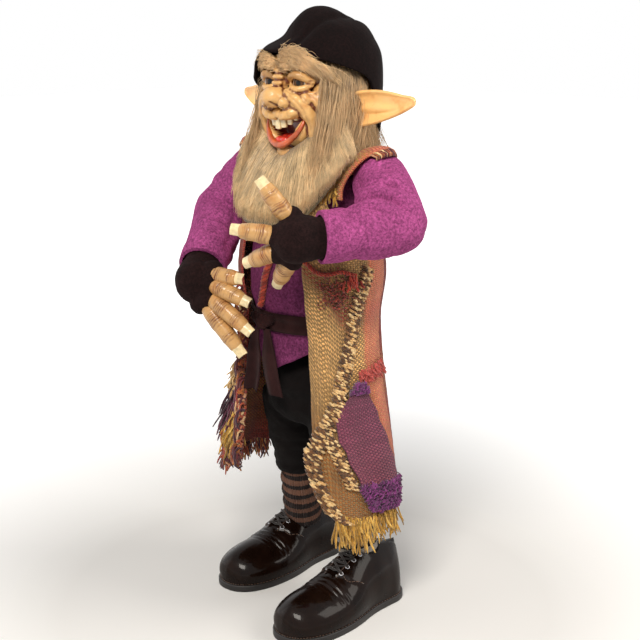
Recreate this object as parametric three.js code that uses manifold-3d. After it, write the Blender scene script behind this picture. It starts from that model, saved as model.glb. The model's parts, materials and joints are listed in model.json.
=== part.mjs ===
// A standing textile goblin figure, about 600 mm tall, with jointed arms and a turning head.
// Millimetres, +Z up. The figure faces -Y, its left hand is on +X, and the floor is Z = 0.
import * as THREE from 'three';
import { mergeVertices } from 'three/addons/utils/BufferGeometryUtils.js';
import Module from 'manifold-3d';

const wasm = await Module();
wasm.setup();

// Clearances
const GAP = 0.4; // between touching pieces
const ROD_END_GAP = 1.6; // beyond the end of a leaning rod
const RUNNING = 0.35; // radial, round a pin or bolt

// Trunk: half widths at heights above the floor, and how much shallower than wide it is
const TRUNK_DEPTH = 0.86;
const SEAT_BOTTOM_Z = 186;
const SEAT_TOP_Z = 262;
const SEAT_HALF = 56;
const WAIST_Z = 300;
const WAIST_HALF = 57;
const BELLY_Z = 345;
const BELLY_HALF = 62;
const CHEST_Z = 404;
const CHEST_HALF = 57;
const SHOULDER_Z = 438;
const SHOULDER_HALF = 50;
const NECK_Z = 456;
const NECK_HALF = 24;

// Garments
const FELT = 3; // tunic cloth
const TUNIC_EASE = 1.1; // air between the padding and the tunic
const TRUNK_SIDES = 20; // a multiple of the hem's points
const TUNIC_HEM_Z = 272;
const TUNIC_POINT_DROP = 18; // depth of the pointed hem tabs
const TUNIC_POINTS = 5;
const SASH_EASE = 1.2; // air between tunic and sash
const SASH_WIDTH = 17;
const SASH_THICKNESS = 3.5;
const SASH_CROWN = 0.6; // the band bulges by this along its middle
const SASH_KNOT_HALF = new THREE.Vector3(11, 6, 9);
const SASH_KNOT_ANGLE = -8; // degrees round from the front
const SASH_KNOT_SINK = 1.5; // the knot is pressed this far into the band
const SASH_END_LENGTH = 62;
const SASH_END_THICKNESS = 1.6;
const SASH_END_SPREAD = 6.5; // from the knot's middle
const SASH_END_WIDTH = 19;
const VEST_CLOTH = 3.6;
const VEST_EASE = 4.5; // air between sash and vest
const VEST_FLARE = 20; // how far the skirt of the vest stands out at the hem
const VEST_UNDERARM_Z = 388;
const VEST_STRAP_FROM_X = 33;
const VEST_STRAP_TO_X = 55;
const VEST_STRAP_SINK = 0.8; // pressed this far into the tunic's shoulder
const VEST_STRAP_Z = 428; // where the shoulder straps meet the fronts and back
const VEST_FOLDS = 7; // waves round the whole skirt
const VEST_FOLD_DEPTH = 3;
const VEST_LEFT_HEM_Z = 152;
const VEST_LEFT_TIP_DROP = 46;
const VEST_LEFT_TIP_SPAN = 45; // degrees from the front edge to the low tip
const VEST_RIGHT_HEM_Z = 142;
const VEST_RIGHT_HEM_RISE = 22; // from the low tip to the edges of the right front
const VEST_RIGHT_TIP = -62; // degrees round from the front
const VEST_RIGHT_TIP_SPAN = 46;
const VEST_BACK_HEM_Z = 124;
const PATCH_THICKNESS = 2.4;
const PATCH_BOTTOM_Z = 126;
const PATCH_TOP_Z = 228;
const PATCH_BOTTOM_ANGLES = [78, 104]; // degrees round from the front
const PATCH_TOP_ANGLES = [64, 82];
const CORD_DIAMETER = 7;
const CORD_SINK = 0.9; // pressed this far into the cloth behind it
const CORD_ROUTE = [[4, 86], [2, 66], [-4, 46], [-9, 28], [-11, 14]]; // degrees round, height above the waist

// Legs and feet
const HIP_SPREAD = 29;
const LEG_ROD_RADIUS = 4;
const THIGH_RADIUS = 33;
const THIGH_RISE = 26; // the thigh's round top above the seat's bottom
const SEAT_BOTTOM_SHARE = 0.62; // of the seat's half width
const TROUSER_HEM_RADIUS = 25;
const TROUSER_HEM_Z = 122;
const SOCK_RADIUS = 20;
const FOOT_SPREAD = 62; // half the distance between the shoes
const STRIDE = 40; // the left shoe stands this far ahead
const STANCE_Y = -3;
const SHOE_LENGTH = 168;
const SHOE_HALF_WIDTH = 34;
const SHOE_HEEL_HALF_WIDTH = 26;
const SOLE_THICKNESS = 7;
const SOLE_WELT = 3; // how far the sole stands out round the upper
const SHOE_COLLAR_Z = 66;
const SHOE_TOE_Z = 40;
const SHOE_TOE_LIP = 8; // height of the toe's front edge over the sole
const SOCK_IN_SHOE = 12; // below the collar
const ANKLE_FROM_HEEL = 46;
const LACE_RADIUS = 1.7;
const LACE_ROWS = 4;
const LACE_FROM_ANKLE = 35; // first row ahead of the ankle
const LACE_RUN = 27; // first row to last
const LACE_HALF_WIDTH = 9;
const LACE_RIDE = 1.2; // air under the lace over the instep

// Inner frame
const SPINE_RADIUS = 9;
const CHEST_BLOCK = new THREE.Vector3(60, 26, 14);
const PELVIS_BLOCK = new THREE.Vector3(84, 34, 24);
const PELVIS_DROP = 12; // the block's top below the seat's top
const NECK_BOLT_RADIUS = 4;
const NECK_BOLT_IN_HEAD = 40;
const NECK_DISC_RADIUS = 22;
const NECK_DISC_THICKNESS = 4;
const SHOULDER_BOLT_RADIUS = 3;
const BOLT_HEAD_RADIUS = 6;
const BOLT_HEAD_THICKNESS = 4;

// Arms
const SHOULDER_X = 82; // middle of the sleeve's round top
const SHOULDER_Y = 8;
const ARMHOLE_X = 60; // flat inner face of the sleeve's top
const SLEEVE_SHOULDER_RADIUS = 28;
const SLEEVE_ELBOW_RADIUS = 27;
const ELBOW_EASE = 1.9; // air round the elbow's ball, so that its flats can turn
const SLEEVE_CUFF_RADIUS = 24.5;
const CUFF_DEPTH = 7; // the glove sits this far inside the sleeve's end
const UPPER_ARM_LENGTH = 66;
const FOREARM_LENGTH = 73;
const ARM_CORE_RADIUS = 6;
const ARM_EYE_RADIUS = 11;
const ELBOW_KNUCKLE_RADIUS = 9;
const ELBOW_TONGUE = 5;
const ELBOW_FORK_HALF = 8; // half the fork's width along the pin
const ELBOW_PIN_RADIUS = 2;
const KNUCKLE_ROOM = 3; // radial, round the elbow's tongue in the fork
const PALM_REACH = 27; // wrist to the middle of the palm
const PALM_RADIUS = 20;
const GLOVE_CLOTH = 4;
const HAND_INSET = 3; // the casting's palm inside the glove
const FINGER_BASE_RADIUS = 9;
const FINGER_TIP_RADIUS = 7.2;

// Head
const SKULL_Z = 524;
const SKULL_Y = 8;
const SKULL_HALF = new THREE.Vector3(46, 50, 54);
const CHIN = { middle: new THREE.Vector3(0, -36, 470), half: new THREE.Vector3(14, 13, 12) };
const NOSE_BRIDGE = { middle: new THREE.Vector3(0, -43, 528), half: new THREE.Vector3(8, 12, 18) };
const NOSE_TIP = { middle: new THREE.Vector3(0, -56, 511), half: new THREE.Vector3(13, 13, 11) };
const NOSTRIL = { middle: new THREE.Vector3(10, -51, 508), half: new THREE.Vector3(8, 9, 7) };
const CHEEK = { middle: new THREE.Vector3(25, -34, 506), half: new THREE.Vector3(15, 15, 16) };
const UPPER_LIP = { middle: new THREE.Vector3(0, -44, 496), half: new THREE.Vector3(21, 11, 8) };
const LOWER_LIP = { middle: new THREE.Vector3(0, -43, 473), half: new THREE.Vector3(17, 9, 6) };
const BROW = { middle: new THREE.Vector3(21, -40, 545), half: new THREE.Vector3(19, 12, 8) };
const TONGUE = { middle: new THREE.Vector3(0, -38, 475.5), half: new THREE.Vector3(13, 11, 5) };
const TOOTH_COUNT = 4;
const TOOTH_PITCH = 7;
const TOOTH_GAP = 1.2;
const TOOTH_LENGTH = 6;
const TOOTH_DEPTH = 3.4;
const GUM_DEPTH = 6;
const GUM_HEIGHT = 7;
const JAW_MIDDLE = new THREE.Vector3(0, -18, 490);
const JAW_HALF = new THREE.Vector3(36, 31, 27);
const HAIR_THICKNESS = 7;
const HAT_FELT = 5;
const HAT_CROWN_RISE = 8; // extra height of the crown
const HAT_TILT = 22; // degrees, low at the nape
const HAT_EDGE_Z = 538; // height of the brim's edge on the head's axis
const HAIR_LENGTH_Z = 472; // lower end of the wig
const FACE_Y = -18; // the wig stays behind this plane
const EYE_RADIUS = 11;
const EYE_SPREAD = 19;
const EYE_Y = -32;
const EYE_Z = 529;
const EAR_LENGTH = 78; // from inside the skull's side to the tip
const EAR_HALF_HEIGHT = 18;
const EAR_HALF_THICKNESS = 7;
const EAR_ROOT = new THREE.Vector3(36, 8, 500);
const EAR_TIP_RISE = 14;
const EAR_TIP_BACK = 12;
const MOUTH_Z = 484;
const MOUTH_HALF_WIDTH = 23;
const MOUTH_HEIGHT = 17;
const MOUTH_BACK_Y = -31; // how deep the open mouth goes into the face
const BEARD_INNER = 69.5;
const BEARD_THICKNESS = 10;
const BEARD_BOTTOM_Z = 398;
const BEARD_TOP_Z = 461;
const BEARD_HALF_ANGLE = 70;
const BEARD_ROOT = 40; // radius where the beard grows out of the jaw
const BEARD_NEAR_JAW = 54; // inner radius at the jaw's height

// Colours and finishes
const finish = (color, roughness, metalness = 0) =>
  new THREE.MeshStandardMaterial({ color, roughness, metalness });
const PURPLE_FELT = finish(0x6d2a6b, 0.95);
const BLACK_FELT = finish(0x120d0d, 0.95);
const BLACK_CLOTH = finish(0x16100f, 0.9);
const SASH_CLOTH = finish(0x2a1512, 0.8);
const TAN_WEAVE = finish(0xb98a52, 0.95);
const RED_WEAVE = finish(0x9a3a2e, 0.95);
const PURPLE_WEAVE = finish(0x5d2a63, 0.95);
const RED_CORD = finish(0x9c3320, 0.85);
const STRIPED_KNIT = finish(0x5a4038, 0.9);
const SHOE_LEATHER = finish(0x1a0f0a, 0.25);
const SOLE_RUBBER = finish(0x140d0a, 0.6);
const LACE = finish(0x100b09, 0.8);
const PAINTED_SKIN = finish(0xd9a866, 0.45);
const MOUTH_RED = finish(0xb8382a, 0.3);
const TOOTH = finish(0xe8d7a8, 0.3);
const EYE_GLASS = finish(0xd8d2c4, 0.1);
const GREY_FUR = finish(0xa68a68, 0.9);
const PADDING = finish(0xd8cfc0, 1);
const WOOD = finish(0xb88a58, 0.7);
const STEEL = finish(0x9a9a9e, 0.35, 1);

// Vectors and placing
const v3 = (x, y, z) => new THREE.Vector3(x, y, z);
const UP = v3(0, 0, 1);
const DEG = Math.PI / 180;
const mix = THREE.MathUtils.lerp;
const smooth = THREE.MathUtils.smoothstep;

// Closed shells from three.js geometry, with shared vertices merged and faces turned outwards
const MERGE = 1e-4; // vertices nearer than this are one
function toSolid(geometry) {
  const bare = geometry.index ? geometry.toNonIndexed() : geometry.clone();
  const places = new THREE.BufferGeometry().setAttribute('position', bare.getAttribute('position'));
  const merged = mergeVertices(places, MERGE);
  const corners = merged.index.array;
  const faces = [];
  for (let i = 0; i < corners.length; i += 3) {
    const [a, b, c] = [corners[i], corners[i + 1], corners[i + 2]];
    if (a !== b && b !== c && a !== c) faces.push([a, b, c]);
  }
  const points = merged.getAttribute('position');
  const at = (i) => new THREE.Vector3().fromBufferAttribute(points, i);
  const volume = faces.reduce((sum, [a, b, c]) => sum + at(a).dot(at(b).cross(at(c))), 0);
  const outward = volume < 0 ? faces.map(([a, b, c]) => [a, c, b]) : faces;
  return new wasm.Manifold(
    new wasm.Mesh({ numProp: 3, vertProperties: points.array, triVerts: new Uint32Array(outward.flat()) }),
  );
}

function toGeometry(solid) {
  const mesh = solid.getMesh();
  return new THREE.BufferGeometry()
    .setAttribute('position', new THREE.BufferAttribute(new Float32Array(mesh.vertProperties), 3))
    .setIndex(new THREE.BufferAttribute(new Uint32Array(mesh.triVerts), 1));
}

const join = (...solids) => solids.reduce((all, one) => all.add(one));
const cut = (solid, ...tools) => tools.reduce((left, tool) => left.subtract(tool), solid);

// Turns geometry made along +Z so that it runs from one point towards another.
function aim(geometry, from, towards) {
  const turn = new THREE.Quaternion().setFromUnitVectors(UP, towards.clone().sub(from).normalize());
  return geometry.applyQuaternion(turn).translate(from.x, from.y, from.z);
}

const ellipsoid = (centre, half, grow = 0, sides = 10, rings = 7) =>
  toSolid(
    new THREE.SphereGeometry(1, sides, rings)
      .rotateX(Math.PI / 2)
      .scale(half.x + grow, half.y + grow, half.z + grow)
      .translate(centre.x, centre.y, centre.z),
  );

const ball = (centre, radius, sides = 10, rings = 6) =>
  ellipsoid(centre, v3(radius, radius, radius), 0, sides, rings);

function rod(from, to, radius, sides = 8) {
  const length = from.distanceTo(to);
  const geometry = new THREE.CylinderGeometry(radius, radius, length, sides).rotateX(Math.PI / 2);
  return toSolid(aim(geometry.translate(0, 0, length / 2), from, to));
}

const block = (centre, size) =>
  toSolid(new THREE.BoxGeometry(size.x, size.y, size.z).translate(centre.x, centre.y, centre.z));

// A limb with round ends that swells a little between them.
function limb(from, to, fromRadius, toRadius, { swell = 0, sides = 12, steps = 3, arc = 3 } = {}) {
  const length = from.distanceTo(to);
  const profile = [];
  for (let i = 0; i <= arc; i += 1) {
    const a = (i / arc) * (Math.PI / 2);
    profile.push(new THREE.Vector2(fromRadius * Math.sin(a), -fromRadius * Math.cos(a)));
  }
  for (let i = 1; i < steps; i += 1) {
    const t = i / steps;
    profile.push(new THREE.Vector2(mix(fromRadius, toRadius, t) + swell * Math.sin(Math.PI * t), length * t));
  }
  for (let i = arc; i >= 0; i -= 1) {
    const a = (i / arc) * (Math.PI / 2);
    profile.push(new THREE.Vector2(toRadius * Math.sin(a), length + toRadius * Math.cos(a)));
  }
  return toSolid(aim(new THREE.LatheGeometry(profile, sides).rotateX(Math.PI / 2), from, to));
}

// Everything on the side of a plane that its normal points to is taken away.
const REACH = 2000; // well beyond the figure
function trim(solid, point, normal) {
  const slab = new THREE.BoxGeometry(REACH, REACH, REACH).translate(0, 0, REACH / 2);
  return cut(solid, toSolid(aim(slab, point, point.clone().add(normal))));
}

// A closed skin through rings of points, with each end closed by a fan.
function loft(rings) {
  const count = rings[0].length;
  const middle = (ring) => ring.reduce((sum, p) => sum.add(p), v3(0, 0, 0)).divideScalar(count);
  const points = [...rings.flat(), middle(rings[0]), middle(rings.at(-1))];
  const index = [];
  const last = (rings.length - 1) * count;
  for (let k = 0; k < count; k += 1) {
    const next = (k + 1) % count;
    for (let r = 0; r < rings.length - 1; r += 1) {
      const [a, b] = [r * count + k, r * count + next];
      index.push(a, b, b + count, a, b + count, a + count);
    }
    index.push(points.length - 2, next, k, points.length - 1, last + k, last + next);
  }
  return toSolid(new THREE.BufferGeometry().setFromPoints(points).setIndex(index));
}

// Cloth of even thickness on a grid: at(u, v) gives the outer point and which way is outwards there.
function cloth(at, thickness, across, down, round = false) {
  const columns = round ? across : across + 1;
  const points = [];
  for (const side of [0, 1]) {
    for (let j = 0; j <= down; j += 1) {
      for (let i = 0; i < columns; i += 1) {
        const [point, outwards] = at(i / across, j / down);
        points.push(point.clone().addScaledVector(outwards, -side * thickness));
      }
    }
  }
  const inner = columns * (down + 1);
  const id = (i, j, side) => side * inner + j * columns + (i % columns);
  const index = [];
  const quad = (a, b, c, d) => index.push(a, b, c, a, c, d);
  for (let j = 0; j < down; j += 1) {
    for (let i = 0; i < across; i += 1) {
      quad(id(i, j, 0), id(i + 1, j, 0), id(i + 1, j + 1, 0), id(i, j + 1, 0));
      quad(id(i, j, 1), id(i, j + 1, 1), id(i + 1, j + 1, 1), id(i + 1, j, 1));
    }
  }
  for (let i = 0; i < across; i += 1) {
    quad(id(i, 0, 0), id(i, 0, 1), id(i + 1, 0, 1), id(i + 1, 0, 0));
    quad(id(i, down, 0), id(i + 1, down, 0), id(i + 1, down, 1), id(i, down, 1));
  }
  if (!round) {
    for (let j = 0; j < down; j += 1) {
      quad(id(0, j, 0), id(0, j + 1, 0), id(0, j + 1, 1), id(0, j, 1));
      quad(id(across, j, 0), id(across, j, 1), id(across, j + 1, 1), id(across, j + 1, 0));
    }
  }
  return toSolid(new THREE.BufferGeometry().setFromPoints(points).setIndex(index));
}

const figure = new THREE.Group();

function add(name, solid, material, parent = figure) {
  const mesh = new THREE.Mesh(toGeometry(solid), material);
  mesh.name = name;
  parent.add(mesh);
  return mesh;
}

// Trunk form: every garment takes its shape from this half width.
const TRUNK = [
  [SEAT_TOP_Z, SEAT_HALF],
  [WAIST_Z, WAIST_HALF],
  [BELLY_Z, BELLY_HALF],
  [CHEST_Z, CHEST_HALF],
  [SHOULDER_Z, SHOULDER_HALF],
  [NECK_Z, NECK_HALF],
];

function trunkHalf(z) {
  if (z <= TRUNK[0][0]) return TRUNK[0][1];
  for (let i = 1; i < TRUNK.length; i += 1) {
    const [[z0, h0], [z1, h1]] = [TRUNK[i - 1], TRUNK[i]];
    if (z <= z1) return mix(h0, h1, smooth(z, z0, z1));
  }
  return NECK_HALF;
}

// A point round the trunk: angle 0 is the front, 90 is the figure's left side.
function roundTrunk(angle, half, z) {
  const a = angle * DEG;
  return v3(half * Math.sin(a), -half * TRUNK_DEPTH * Math.cos(a), z);
}
const outwardsAt = (angle) => v3(Math.sin(angle * DEG), -Math.cos(angle * DEG), 0);

const shoulderPoint = (side) => v3(side * SHOULDER_X, SHOULDER_Y, SHOULDER_Z);
const CHEST_BLOCK_MIDDLE = v3(0, SHOULDER_Y / 2, SHOULDER_Z);
const PELVIS_BLOCK_MIDDLE = v3(0, 0, SEAT_TOP_Z - GAP - PELVIS_BLOCK.z / 2 - PELVIS_DROP);
const SPINE_TOP_Z = SHOULDER_Z - CHEST_BLOCK.z / 2 - GAP;
const SPINE_BOTTOM_Z = PELVIS_BLOCK_MIDDLE.z + PELVIS_BLOCK.z / 2 + GAP;
const NECK_DISC_Z = NECK_Z + GAP;
const HEAD_BASE_Z = NECK_DISC_Z + NECK_DISC_THICKNESS + GAP;
const SLOPE_Z = mix(SHOULDER_Z, NECK_Z, 0.35); // on the shoulder's slope
const TUNIC_TOP_Z = mix(SHOULDER_Z, NECK_Z, 0.7);
const BOLT_IN_BLOCK = 18;
const shoulderBoltWay = () => rod(shoulderPoint(-1), shoulderPoint(1), SHOULDER_BOLT_RADIUS + GAP);

function makeInnerFrame() {
  const boltHoles = [-1, 1].map((side) =>
    rod(
      v3(side * (CHEST_BLOCK.x / 2 - BOLT_IN_BLOCK - GAP), SHOULDER_Y, SHOULDER_Z),
      v3(side * CHEST_BLOCK.x, SHOULDER_Y, SHOULDER_Z),
      SHOULDER_BOLT_RADIUS + RUNNING,
    ),
  );
  const onAxis = (from, to, radius, sides) => rod(v3(0, 0, from), v3(0, 0, to), radius, sides);
  add('spine_post', onAxis(SPINE_BOTTOM_Z, SPINE_TOP_Z, SPINE_RADIUS), WOOD);
  const neckHole = onAxis(SHOULDER_Z - GAP, SHOULDER_Z + CHEST_BLOCK.z, NECK_BOLT_RADIUS + RUNNING);
  add('chest_block', cut(block(CHEST_BLOCK_MIDDLE, CHEST_BLOCK), ...boltHoles, neckHole), WOOD);
  add('pelvis_block', block(PELVIS_BLOCK_MIDDLE, PELVIS_BLOCK), WOOD);
  add('neck_bolt', onAxis(SHOULDER_Z, HEAD_BASE_Z + NECK_BOLT_IN_HEAD, NECK_BOLT_RADIUS), STEEL);
  const disc = onAxis(NECK_DISC_Z, NECK_DISC_Z + NECK_DISC_THICKNESS, NECK_DISC_RADIUS, 24);
  const discHole = onAxis(NECK_Z - GAP, HEAD_BASE_Z, NECK_BOLT_RADIUS + RUNNING);
  add('neck_disc', cut(disc, discHole), WOOD);
}

function trunkRing(half, z) {
  const ring = [];
  for (let k = 0; k < TRUNK_SIDES; k += 1) ring.push(roundTrunk((k / TRUNK_SIDES) * 360, half, z));
  return ring;
}

function makeTrunk() {
  const heights = [SEAT_TOP_Z + GAP, WAIST_Z, BELLY_Z, CHEST_Z, SHOULDER_Z];
  const between = heights.slice(1, -1).map((z, i) => (z + heights[i + 2]) / 2);
  const levels = [...heights, ...between, SLOPE_Z, TUNIC_TOP_Z, NECK_Z];
  const rings = levels.sort((a, b) => a - b).map((z) => trunkRing(trunkHalf(z), z));
  const boltWay = shoulderBoltWay();
  const inside = join(
    rod(v3(0, 0, SEAT_TOP_Z - GAP), v3(0, 0, SHOULDER_Z), SPINE_RADIUS + GAP),
    block(CHEST_BLOCK_MIDDLE, CHEST_BLOCK.clone().addScalar(2 * GAP)),
    rod(v3(0, 0, SHOULDER_Z), v3(0, 0, NECK_Z + GAP), NECK_BOLT_RADIUS + GAP),
    boltWay,
  );
  add('torso_padding', cut(loft(rings), inside), PADDING);

  const hemAt = (angle) => {
    const turn = ((angle / 360) * TUNIC_POINTS + 0.5) % 1;
    const tab = Math.abs(turn - 0.5) * 2; // 0 at a point, 1 between points
    return TUNIC_HEM_Z - TUNIC_POINT_DROP * (1 - tab);
  };
  const upwards = [0, ...levels.filter((z) => z > TUNIC_HEM_Z && z <= TUNIC_TOP_Z)];
  const tunic = cloth(
    (u, v) => {
      const level = Math.round(v * (upwards.length - 1));
      const z = level ? upwards[level] : hemAt(u * 360);
      return [roundTrunk(u * 360, tunicHalf(z), z), outwardsAt(u * 360)];
    },
    FELT,
    TRUNK_SIDES,
    upwards.length - 1,
    true,
  );
  add('tunic', cut(tunic, boltWay), PURPLE_FELT);
}

const outwardsFrom = (p) => v3(p.x, p.y, 0).normalize();
const tunicHalf = (z) => trunkHalf(z) + TUNIC_EASE + FELT;
const sashHalf = (z) => tunicHalf(z) + SASH_EASE + SASH_THICKNESS;


// The dressed trunk as one solid, to cut what lies against it.
function dressedTrunk(grow) {
  const between = (low, high) => (low + high) / 2;
  const lower = [SEAT_BOTTOM_Z, TUNIC_HEM_Z, WAIST_Z, between(WAIST_Z, BELLY_Z), BELLY_Z];
  const chest = [between(BELLY_Z, CHEST_Z), CHEST_Z, between(CHEST_Z, SHOULDER_Z)];
  const upper = [...chest, SHOULDER_Z, SLOPE_Z, TUNIC_TOP_Z];
  return loft([...lower, ...upper].map((z) => trunkRing(tunicHalf(z) + grow, z)));
}
function sashForm(grow) {
  const rings = [-0.5, 0, 0.5].map((share) => {
    const z = WAIST_Z + SASH_WIDTH * share;
    return trunkRing(sashHalf(z) + SASH_CROWN * (1 - 2 * Math.abs(share)) + grow, z);
  });
  return loft(rings);
}

function makeSash() {
  const band = cloth(
    (u, v) => {
      const z = WAIST_Z + SASH_WIDTH * (v - 0.5);
      return [roundTrunk(u * 360, sashHalf(z) + SASH_CROWN * Math.sin(Math.PI * v), z), outwardsAt(u * 360)];
    },
    SASH_THICKNESS,
    TRUNK_SIDES,
    2,
    true,
  );
  add('waist_sash', band, SASH_CLOTH);
  const knotReach = sashHalf(WAIST_Z) + SASH_KNOT_HALF.y / TRUNK_DEPTH - SASH_KNOT_SINK;
  const knot = roundTrunk(SASH_KNOT_ANGLE, knotReach, WAIST_Z);
  const knotSolid = ellipsoid(knot, SASH_KNOT_HALF, 0, 12, 8);
  add('sash_knot', cut(knotSolid, sashForm(GAP), dressedTrunk(GAP)), SASH_CLOTH);
  for (const [name, lean] of [['sash_end_right', -0.1], ['sash_end_left', 0.2]]) {
    const top = knot.clone().add(v3(Math.sign(lean) * SASH_END_SPREAD, 1, -SASH_KNOT_HALF.z - GAP));
    const ribbon = cloth(
      (u, v) => {
        const widen = mix(0.6, 1, v);
        const x = top.x + lean * SASH_END_LENGTH * v + SASH_END_WIDTH * widen * (u - 0.5) * 0.8;
        const wave = 2 * Math.sin(u * Math.PI) * v;
        return [v3(x, top.y - 1.5 - 2 * v - wave, top.z - SASH_END_LENGTH * v), v3(0, -1, 0)];
      },
      SASH_END_THICKNESS,
      4,
      6,
    );
    add(name, ribbon, SASH_CLOTH);
  }
}

// The vest: two fronts, a back and two shoulder straps, hanging from the shoulders with a flared skirt.
const vestHalf = (z, angle) => {
  const skirt = smooth(WAIST_Z - z, 0, WAIST_Z - VEST_BACK_HEM_Z);
  const fold = VEST_FOLD_DEPTH * skirt * Math.cos(VEST_FOLDS * angle * DEG);
  const ease = sashHalf(WAIST_Z) + VEST_EASE + VEST_CLOTH - WAIST_HALF;
  return trunkHalf(Math.max(z, WAIST_Z)) + ease + VEST_FLARE * skirt + fold;
};

// Height at which the tunic's shoulder is this far from the middle
function shoulderHeight(x) {
  let [low, high] = [CHEST_Z, NECK_Z];
  for (let i = 0; i < 24; i += 1) {
    const z = (low + high) / 2;
    if (tunicHalf(z) > x) low = z;
    else high = z;
  }
  return low;
}

function vestPanel({ from, to, hem, top, across = 8, down = 8 }) {
  return cloth(
    (u, v) => {
      const angle = mix(from, to, u);
      const z = mix(hem(angle), top(angle), v);
      return [roundTrunk(angle, vestHalf(z, angle), z), outwardsAt(angle)];
    },
    VEST_CLOTH,
    across,
    down,
  );
}

const SIDE_SEAM = 112; // degrees from the front
const SEAM_GAP = 0.5; // degrees
const LEFT_FRONT_EDGE = 40;
const RIGHT_FRONT_EDGE = -32;
const STRAP_OUTER_ANGLE = 58; // fronts and back rise to the straps within this angle of the front and back

// Height of a panel's top edge: full height near the neck, the armhole's bottom at the side.
const panelTop = (angle) => {
  const fromMiddle = Math.min(Math.abs(angle), 180 - Math.abs(angle));
  return mix(VEST_STRAP_Z, VEST_UNDERARM_Z, smooth(fromMiddle, STRAP_OUTER_ANGLE - 6, STRAP_OUTER_ANGLE + 10));
};

const leftHem = (angle) =>
  VEST_LEFT_HEM_Z - VEST_LEFT_TIP_DROP * smooth(angle, LEFT_FRONT_EDGE, LEFT_FRONT_EDGE + VEST_LEFT_TIP_SPAN);
const rightHem = (angle) =>
  VEST_RIGHT_HEM_Z + VEST_RIGHT_HEM_RISE * Math.abs((angle - VEST_RIGHT_TIP) / VEST_RIGHT_TIP_SPAN);
const backHem = () => VEST_BACK_HEM_Z;

function makeVest() {
  const leftFront = vestPanel({ from: LEFT_FRONT_EDGE, to: SIDE_SEAM - SEAM_GAP, hem: leftHem, top: panelTop });
  add('vest_left_front', leftFront, TAN_WEAVE);
  const rightSeam = -SIDE_SEAM + SEAM_GAP;
  const rightFront = vestPanel({ from: rightSeam, to: RIGHT_FRONT_EDGE, hem: rightHem, top: panelTop });
  add('vest_right_front', rightFront, TAN_WEAVE);
  const backTop = (angle) => panelTop(angle > 180 ? angle - 360 : angle);
  const back = vestPanel({ from: SIDE_SEAM, to: 360 - SIDE_SEAM, hem: backHem, top: backTop, across: 14 });
  add('vest_back', back, RED_WEAVE);
  for (const side of [-1, 1]) {
    const strap = cloth(
      (u, v) => {
        const x = mix(VEST_STRAP_FROM_X, VEST_STRAP_TO_X, u);
        const half = vestHalf(VEST_STRAP_Z, 0);
        const reach = TRUNK_DEPTH * Math.sqrt(Math.max(half * half - x * x, 0));
        const turn = Math.PI * v;
        const rise = shoulderHeight(x) + VEST_CLOTH - VEST_STRAP_SINK - VEST_STRAP_Z - GAP;
        const point = v3(side * x, -reach * Math.cos(turn), VEST_STRAP_Z + GAP + rise * Math.sin(turn));
        return [point, v3(0, -Math.cos(turn), Math.sin(turn)).normalize()];
      },
      VEST_CLOTH,
      3,
      8,
    );
    const name = side > 0 ? 'vest_strap_left' : 'vest_strap_right';
    add(name, cut(strap, dressedTrunk(GAP), shoulderBoltWay()), TAN_WEAVE);
  }
  const patch = cloth(
    (u, v) => {
      const z = mix(PATCH_BOTTOM_Z, PATCH_TOP_Z, v);
      const [from, to] = [0, 1].map((edge) => mix(PATCH_BOTTOM_ANGLES[edge], PATCH_TOP_ANGLES[edge], v));
      const angle = mix(from, to, u);
      return [roundTrunk(angle, vestHalf(z, angle) + GAP + PATCH_THICKNESS, z), outwardsAt(angle)];
    },
    PATCH_THICKNESS,
    4,
    6,
  );
  add('vest_patch', patch, PURPLE_WEAVE);
}

// The braided tie cord hangs in front of the tunic from under the beard to the edge of the right front.
function makeTieCord() {
  const radius = CORD_DIAMETER / 2;
  const route = CORD_ROUTE.map(([angle, aboveWaist]) => {
    const z = WAIST_Z + aboveWaist;
    const half = Math.max(tunicHalf(z), z < WAIST_Z + SASH_WIDTH ? sashHalf(WAIST_Z) : 0);
    return roundTrunk(angle, half + (GAP + radius) / TRUNK_DEPTH - CORD_SINK, z);
  });
  const section = new THREE.Shape();
  section.absarc(0, 0, radius, 0, 2 * Math.PI);
  const path = new THREE.CatmullRomCurve3(route);
  const cord = toSolid(new THREE.ExtrudeGeometry(section, { extrudePath: path, steps: 10, curveSegments: 4 }));
  add('tie_cord', cut(cord, dressedTrunk(GAP), sashForm(GAP)), RED_CORD);
}

// Legs stand on steel rods that run from the pelvis block into the shoes.
const ankleY = (side) => STANCE_Y - (side * STRIDE) / 2 + SHOE_LENGTH / 2 - ANKLE_FROM_HEEL;
const hipPoint = (side) => v3(side * HIP_SPREAD, 0, PELVIS_BLOCK_MIDDLE.z - PELVIS_BLOCK.z / 2 - ROD_END_GAP);
const footPoint = (side) => v3(side * FOOT_SPREAD, ankleY(side), SOLE_THICKNESS + ROD_END_GAP);
const legAt = (side, z) => {
  const [hip, foot] = [hipPoint(side), footPoint(side)];
  return hip.lerp(foot, (hip.z - z) / (hip.z - foot.z));
};

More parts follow.
